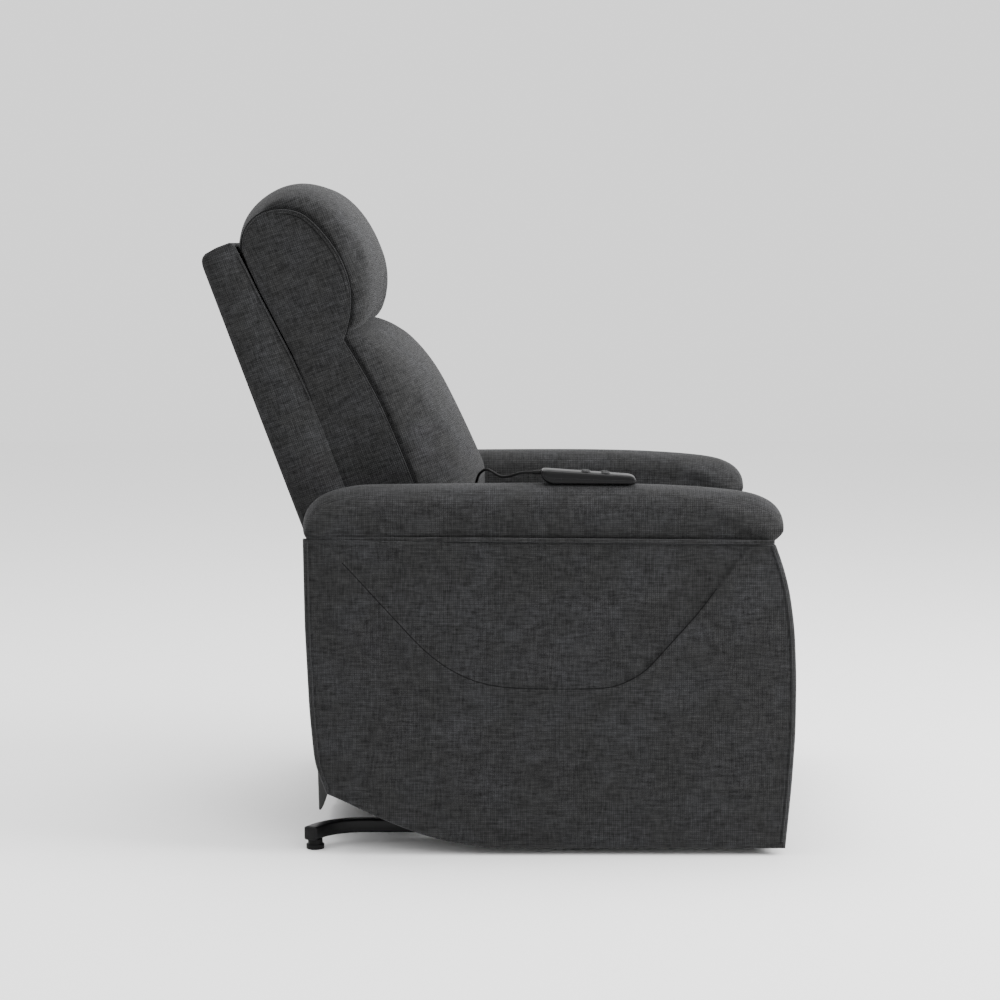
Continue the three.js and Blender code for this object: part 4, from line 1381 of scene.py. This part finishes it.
    def shell(self) -> None:
        """The outer back: an upholstered slab with rounded edges and a leaning wedge shape."""
        cols, rows = 120, 150
        y = crowded(np.array([[-self.shell_half, 0.0], [self.shell_half, 0.0]]), cols)[:, 0]
        w = crowded(np.array([[-0.138, 0.0], [0.489, 0.0]]), rows)[:, 0]
        rear_top = outline((0, 462), (0, 482, 6, 488, 30, 489), fine=12)
        lip = np.interp(w, np.array([-138, 141, 207, 278, 391, 440, 481, 489]) * MM,
                        np.array([91.5, 92, 91, 86, 72, 67.5, 62.5, 58]) * MM)
        rear = np.interp(w, rear_top[:, 1], rear_top[:, 0], left=0.0)
        grid = np.stack(np.broadcast_arrays(y[:, None], w[None]), axis=-1)
        near = border_distance(grid)
        side_only = np.minimum(grid[..., 0] + self.shell_half, self.shell_half - grid[..., 0])
        puff = 0.003 * ease(near, 0.0, 0.12)
        solid = np.stack([np.zeros(near.shape), grid[..., 0], grid[..., 1]], axis=-1)
        back_u = rear[None] - 0.0006 + round_edge(side_only, 0.008) - puff * 0.9
        back_u += 0.0008 * rolling(solid, 61, 0.2)
        free = ease(w, 0.13, 0.24)[None]
        front_u = lip[None] - round_edge(near, 0.0022) * free - 0.008 * ease(near, 0.006, 0.016)
        front_u = np.maximum(front_u, back_u + 0.004)
        shell = make_object("outer_back", *panel_mesh(LEAN.place(back_u, grid[..., 0], grid[..., 1]),
                                                      LEAN.place(front_u, grid[..., 0], grid[..., 1])))
        dress(shell, Finish.CLOTH, "back", ["back_shell"], lean=LEAN.angle)
        # A thin welt in the lighter piping cloth along each side lip: a painted highlight on the lip's edge.
        for name, side in SIDES:
            height = np.linspace(0.200, 0.462, 120)
            depth = np.interp(height, w, lip) - 0.0026
            path = LEAN.place(depth, np.full(120, side * self.shell_half), height)
            welt = tube(onto(shell, path), round_section(0.0009, 8), up=(0, side, 0))
            dress(make_object(f"outer_back_welt_{name}", *welt), Finish.PIPING, "back")

    def build(self) -> None:
        """Makes the back's pieces."""
        self.shell()
        self.lumbar()
        self.head()
        for name, side in SIDES:
            self.gusset(name, side)
        dress_node("back_frame", Finish.WOOD)
        dress_node("recline_yoke", Finish.STEEL)


# ---- footrest -------------------------------------------------------------------------------------
@dataclass
class Footrest:
    """The leg board with its padded face and the steel linkage behind it."""

    half: float = 0.256

    def pad(self) -> None:
        """The padded face with its two sewn channels."""
        profile = spread(outline((457, 64), (468, 64), (474, 64, 477, 70, 477, 84),
                                 (479, 150, 479, 240, 477, 302), (477, 316, 474, 322, 466, 322),
                                 (457, 322), fine=10), 160, closed=True)

        def crown(line: Array, out: Array) -> Array:
            """Thins the face towards the sides."""
            moved = line.copy()
            moved[:, 0] -= 0.006 * out ** 5 * np.clip((line[:, 0] - 0.458) / 0.02, 0, 1)
            return moved

        cover = swept_cover("leg_pad", profile, self.half - 0.006, crown)
        Filling(voxel=0.005, cap=0.008, soften=3).swell(cover)
        points = coordinates(cover)
        points[:, 0] = np.maximum(points[:, 0], 0.4553)
        points[:, 1] = np.clip(points[:, 1], -0.2615, 0.2615)
        set_coordinates(cover, points)
        y = np.linspace(-0.246, 0.246, 120)
        for z in (0.150, 0.236):
            line = np.column_stack([np.full(120, 0.482), y, np.full(120, z)])
            press_seam(cover, onto(cover, line), 0.006, 0.0040)
        dress(cover, Finish.CLOTH, "ottoman", ["footrest_pad"])

    @staticmethod
    def turned_edge() -> None:
        """The cloth turned over the board's four edges: a thin strip that hooks behind them."""
        turned = ((455.25, -14, -14), (455.25, 0.6, 0.6), (454.7, 1.3, 1.3), (440.2, 1.3, 1.3),
                  (439.4, 1.0, 1.0), (439.0, 0.2, 0.2), (439.0, -6.5, -18), (439.5, -7, -18.5),
                  (439.95, -6.5, -18), (439.95, 0.3, 0.3), (455.0, 0.3, 0.3), (455.0, -14, -14))
        points, faces = wrap_mesh((0, 192), (252, 130), turned)
        edge = make_object("leg_board_turned_edge", points[:, [2, 0, 1]], faces)
        dress(edge, Finish.CLOTH, "ottoman")

    def build(self) -> None:
        """Makes the padded face and its edge, and finishes the board and the linkage."""
        self.pad()
        self.turned_edge()
        dress_node("footrest_board", Finish.WOOD)
        dress_node("footrest_drive", Finish.STEEL)
        for name, _ in SIDES:
            for node in ("shin_link", "parallel_thigh_link", "parallel_shin_link", "footrest_bracket"):
                dress_node(f"{node}_{name}", Finish.STEEL)


# ---- rear cover -----------------------------------------------------------------------------------
@dataclass
class RearCover:
    """The thin black cloth that hangs behind the seat, held along its top edge."""

    x: float = -0.3014
    half: float = 0.259
    top: float = 0.343
    low: float = 0.046

    @staticmethod
    def sleeve() -> None:
        """The same cloth wrapped round the timber rail that the sheet hangs from."""
        wrap = ((-264.74, -8.9, -29.9), (-264.74, 0.2, 0.2), (264.74, 0.2, 0.2), (264.74, -8.9, -29.9),
                (264.9, -8.9, -29.9), (264.9, 0.85, 0.85), (-264.9, 0.85, 0.85), (-264.9, -8.9, -29.9))
        points, faces = wrap_mesh((-291, 315), (9, 30), wrap)
        rail = make_object("rear_rail_sleeve", points[:, [0, 2, 1]], faces)
        dress(rail, Finish.DUST_CLOTH, "chair")

    def sheet(self) -> None:
        """The hanging sheet: soft upright folds that grow towards the free bottom edge."""
        y = np.linspace(-self.half, self.half, 170)
        t = np.linspace(0, 1, 90)
        drop = (1 - t)[None]
        across = y[:, None]
        fold = (0.0018 * np.sin(across * 41.0 + 0.8) + 0.0014 * np.sin(across * 73.0 + 2.0)
                + 0.0010 * np.sin(across * 17.0)) * drop ** 1.4
        edge = ease(np.abs(across), self.half - 0.022, self.half)
        curl = 0.0145 * edge ** 1.5 * ease(1 - t, 0.0, 0.6)[None]
        lean = 0.0014 * drop ** 2 - 0.0028 * np.sin(math.pi * t)[None]
        hem = 0.0015 * np.sin(across * 23.0 + 1.0) * drop + 0.032 * edge ** 2 * drop ** 2 - 0.0065 * drop
        z = self.low + (self.top - self.low) * t[None] + hem
        grid = np.stack(np.broadcast_arrays(self.x + fold * (1 - edge) + curl + lean, across, z), axis=-1)
        vertices, faces = panel_mesh(grid + np.array([0.0003, 0, 0]), grid - np.array([0.0003, 0, 0]))
        sheet = make_object("rear_dust_cloth", vertices, faces)
        dress(sheet, Finish.DUST_CLOTH, "chair", ["dust_cover"])
        self.top - self.low

    def build(self) -> None:
        """Makes the sleeve and the sheet."""
        self.sleeve()
        self.sheet()


# ---- handset --------------------------------------------------------------------------------------
@dataclass
class Handset:
    """The wired hand control that lies on the right arm, with its keys, lead and grommet."""

    y: float = -0.335
    half: float = 0.024
    radius: float = 0.00225

    KEYS = (("raise", 0.146, -0.011), ("lower", 0.178, -0.011),
            ("recline", 0.146, 0.011), ("footrest", 0.178, 0.011))
    SLOPE = 9.2 / 134
    ROUTE = ((-38, -260.6, 482), (-38, -252, 484), (-38, -247, 495), (-38, -246, 530), (-37, -250, 575),
             (-33.5, -266, 601.5), (-28, -281, 618), (-17, -296, 627), (-7, -305.5, 624), (3, -313.5, 618.8),
             (12, -320, 617.1), (23, -326, 619), (34, -331, 623), (46, -334, 625.8), (60, -335, 626),
             (72.7, -335, 626))

    def top(self, x: Array) -> Array:
        """Height of the case's sloping top at a distance along the arm."""
        return 0.6322 - (x - 0.080) * self.SLOPE

    def route(self) -> Array:
        """The lead's centre line: a Catmull-Rom curve through the stations of its route."""
        p = np.array(self.ROUTE) * MM
        p = np.vstack([2 * p[0] - p[1], p, 2 * p[-1] - p[-2]])
        t = np.linspace(0, 1, 5)[:-1, None, None]
        a, b, c, d = p[:-3], p[1:-2], p[2:-1], p[3:]
        square, cube = 2 * a - 5 * b + 4 * c - d, 3 * b - a - 3 * c + d
        line = 0.5 * (2 * b + (c - a) * t + square * t ** 2 + cube * t ** 3)
        return np.vstack([line.transpose(1, 0, 2).reshape(-1, 3), p[-2:-1]])

    def case(self) -> None:
        """The moulded case: a side profile with its long edges rounded over."""
        upper = outline((73, 624), (73, 630.5, 75.5, 632.4, 81, 632.13), (212, 623.14),
                        (222, 622.4, 227.6, 619, 227.8, 613), fine=14)
        lower = outline((73, 624), (73, 616, 80, 609.5, 92, 606.3), (219, 606.3),
                        (225, 606.3, 228, 608.5, 227.8, 613), fine=14)
        x = 0.0731 + 0.1546 * (0.5 - 0.5 * np.cos(np.linspace(0.03, math.pi - 0.03, 100)))
        high = np.interp(x, upper[:, 0], upper[:, 1])
        low = np.interp(x, lower[:, 0], lower[:, 1])
        short = np.clip(0.012 - np.minimum(x - 0.0725, 0.2283 - x), 0, None) / 0.012
        plan = np.sqrt(np.clip(1 - short ** 2, 0.02, 1))
        half = self.half * (0.80 + 0.20 * plan)
        turn = np.linspace(0, 2 * math.pi, 56, endpoint=False)
        power = 0.42
        c = np.sign(np.cos(turn)) * np.abs(np.cos(turn)) ** power
        s = np.sign(np.sin(turn)) * np.abs(np.sin(turn)) ** power
        mid, tall = (high + low) / 2, (high - low) / 2
        rings = np.stack([np.broadcast_to(x[:, None], (100, 56)), self.y + half[:, None] * c[None],
                          mid[:, None] + tall[:, None] * s[None]], axis=-1)
        body = make_object("hand_control", *ring_mesh(rings))
        dress(body, Finish.SHELL, "chair", ["handset_case"])
        for name, side in SIDES:
            path = np.column_stack([x, self.y + side * (half + 0.00005), mid - 0.001])[3:-3]
            joint = tube(path, round_section(0.0005, 6), up=(0, 1, 0.2))
            dress(make_object(f"hand_control_joint_{name}", *joint), Finish.GLOSS, "chair")

    def keys(self) -> None:
        """Four domed rubber keys, each in a shallow raised collar."""
        slope = math.atan(self.SLOPE)
        for name, x, y in self.KEYS:
            dome = outline((0.01, -1.4), (6.4, -1.4), (6.7, -1.4, 6.7, -1.1, 6.7, -0.8), (6.7, 0.7),
                           (6.6, 1.5, 5.4, 1.7, 3.6, 1.6), (2.4, 1.45, 1.2, 1.4, 0.01, 1.4), fine=6)
            ring = outline((6.9, -0.6), (8.6, -0.6), (8.6, 0.0), (8.4, 0.5, 7.9, 0.6, 7.5, 0.5),
                           (7.0, 0.3, 6.9, 0.1, 6.9, -0.2), fine=5)
            key, faces = lathe(dome, (0, 0, 0), sides=36)
            turn = np.linspace(0, 2 * math.pi, 36, endpoint=False)
            rings = np.stack([ring[:, :1] * np.cos(turn), ring[:, :1] * np.sin(turn),
                              np.broadcast_to(ring[:, 1:], (len(ring), 36))], axis=-1)
            collar, collar_faces = ring_mesh(rings, looped=True)
            c, s = math.cos(slope), math.sin(slope)
            tilt = np.array([[c, 0, s], [0, 1, 0], [-s, 0, c]])
            centre = np.array([x, self.y + y, float(self.top(np.array(x)))])
            button = make_object(f"key_{name}", key @ tilt.T + centre, faces)
            dress(button, Finish.KEY, f"button_{name}", [f"handset_button_{name}"])
            rim = make_object(f"key_collar_{name}", collar @ tilt.T + centre, collar_faces)
            dress(rim, Finish.GLOSS, "chair")

    def lead(self) -> None:
        """The thin lead, its strain relief on the case and its grommet in the arm."""
        path = self.route()
        rope = make_object("handset_lead", *tube(path, round_section(self.radius, 12), up=(0.35, 0.94, 0.05)))
        dress(rope, Finish.RUBBER, "chair", ["handset_cord"])
        boot = outline((0.01, 0), (4.4, 0), (4.4, 0.6, 4.2, 1.2, 4.0, 2), (3.9, 8, 3.3, 12, 2.9, 15),
                       (2.8, 15.4, 2.6, 15.6, 0.01, 15.6), fine=8)
        vertices, faces = lathe(boot, (0, 0, 0), axis=0, sides=28)
        vertices[:, 0] = 0.0745 - vertices[:, 0]
        vertices += np.array([0, self.y, 0.6260])
        dress(make_object("lead_strain_relief", vertices, faces), Finish.RUBBER, "chair")
        collar = outline((0.01, -3.4), (7, -3.4), (7, -1.2), (6.8, 0, 6.2, 0, 5.4, 0), (3.2, 0.2), (2.6, 0.0),
                         (2.4, -0.8), (0.01, -0.8), fine=5)
        vertices, faces = lathe(collar, (-0.038, -0.2613, 0.482), axis=1, sides=32)
        dress(make_object("lead_grommet", vertices, faces), Finish.RUBBER, "chair", ["cord_grommet"])

    def build(self) -> None:
        """Makes the handset and its lead."""
        self.lead()
        self.case()
        self.keys()


# ---- studio ---------------------------------------------------------------------------------------
@dataclass
class Studio:
    """Pale floor, soft lights and the camera."""

    camera_place: tuple[float, float, float] = (0.006, -4.318, 0.9988)
    tilt: float = 84.0
    lens: float = 88.1

    def camera(self) -> None:
        """A long lens looking along +Y, slightly down."""
        data = bpy.data.cameras.new("studio_camera")
        data.lens, data.sensor_width = self.lens, 36.0
        seen = bpy.data.objects.new("studio_camera", data)
        seen.location = self.camera_place
        seen.rotation_euler = (math.radians(self.tilt), 0.0, 0.0)
        bpy.context.scene.collection.objects.link(seen)
        bpy.context.scene.camera = seen

    def softbox(self, name: str, place: Sequence[float], aim: Sequence[float], size: float,
                power: float) -> None:
        """A square area light that faces a point."""
        data = bpy.data.lights.new(name, "AREA")
        data.size, data.energy = size, power
        lamp = bpy.data.objects.new(name, data)
        lamp.location = place
        lamp.rotation_euler = (Vector(aim) - Vector(place)).to_track_quat("-Z", "Y").to_euler()
        bpy.context.scene.collection.objects.link(lamp)

    def build(self) -> None:
        """Makes the floor, the lights and the camera."""
        self.camera()
        world = bpy.data.worlds.new("pale_room")
        world.use_nodes = True
        world.node_tree.nodes["Background"].inputs[0].default_value = (1.0, 1.0, 1.0, 1.0)
        world.node_tree.nodes["Background"].inputs[1].default_value = 1.4
        bpy.context.scene.world = world
        span = np.linspace(-8.0, 8.0, 3)
        flat = np.stack(np.broadcast_arrays(span[:, None], span[None], np.zeros((3, 3))), axis=-1)
        floor = make_object("studio_floor", flat.reshape(-1, 3), grid_faces(3, 3)[0])
        g = Graph("pale_floor")
        surface = g.node("BsdfPrincipled", inputs={"Base Color": (0.93, 0.93, 0.93, 1.0), "Roughness": 0.9})
        g.node("OutputMaterial", inputs={0: surface})
        floor.data.materials.append(g.material)
        self.softbox("front_softbox", (3.9, -0.9, 2.1), (0.0, 0.0, 0.7), 2.2, 330.0)
        self.softbox("key_softbox", (1.6, -3.6, 3.2), (0.0, 0.0, 0.6), 2.0, 60.0)
        self.softbox("top_softbox", (-0.4, 0.4, 3.8), (0.0, 0.0, 0.5), 2.2, 130.0)


def main() -> None:
    logging.basicConfig(level=logging.INFO, format="%(message)s")
    Studio().build()
    Handset().build()
    LiftBase().build()
    for name, side in SIDES:
        Arm(name, side).build()
    Seat().build()
    Back().build()
    Footrest().build()
    RearCover().build()


if __name__ == "__main__":
    main()
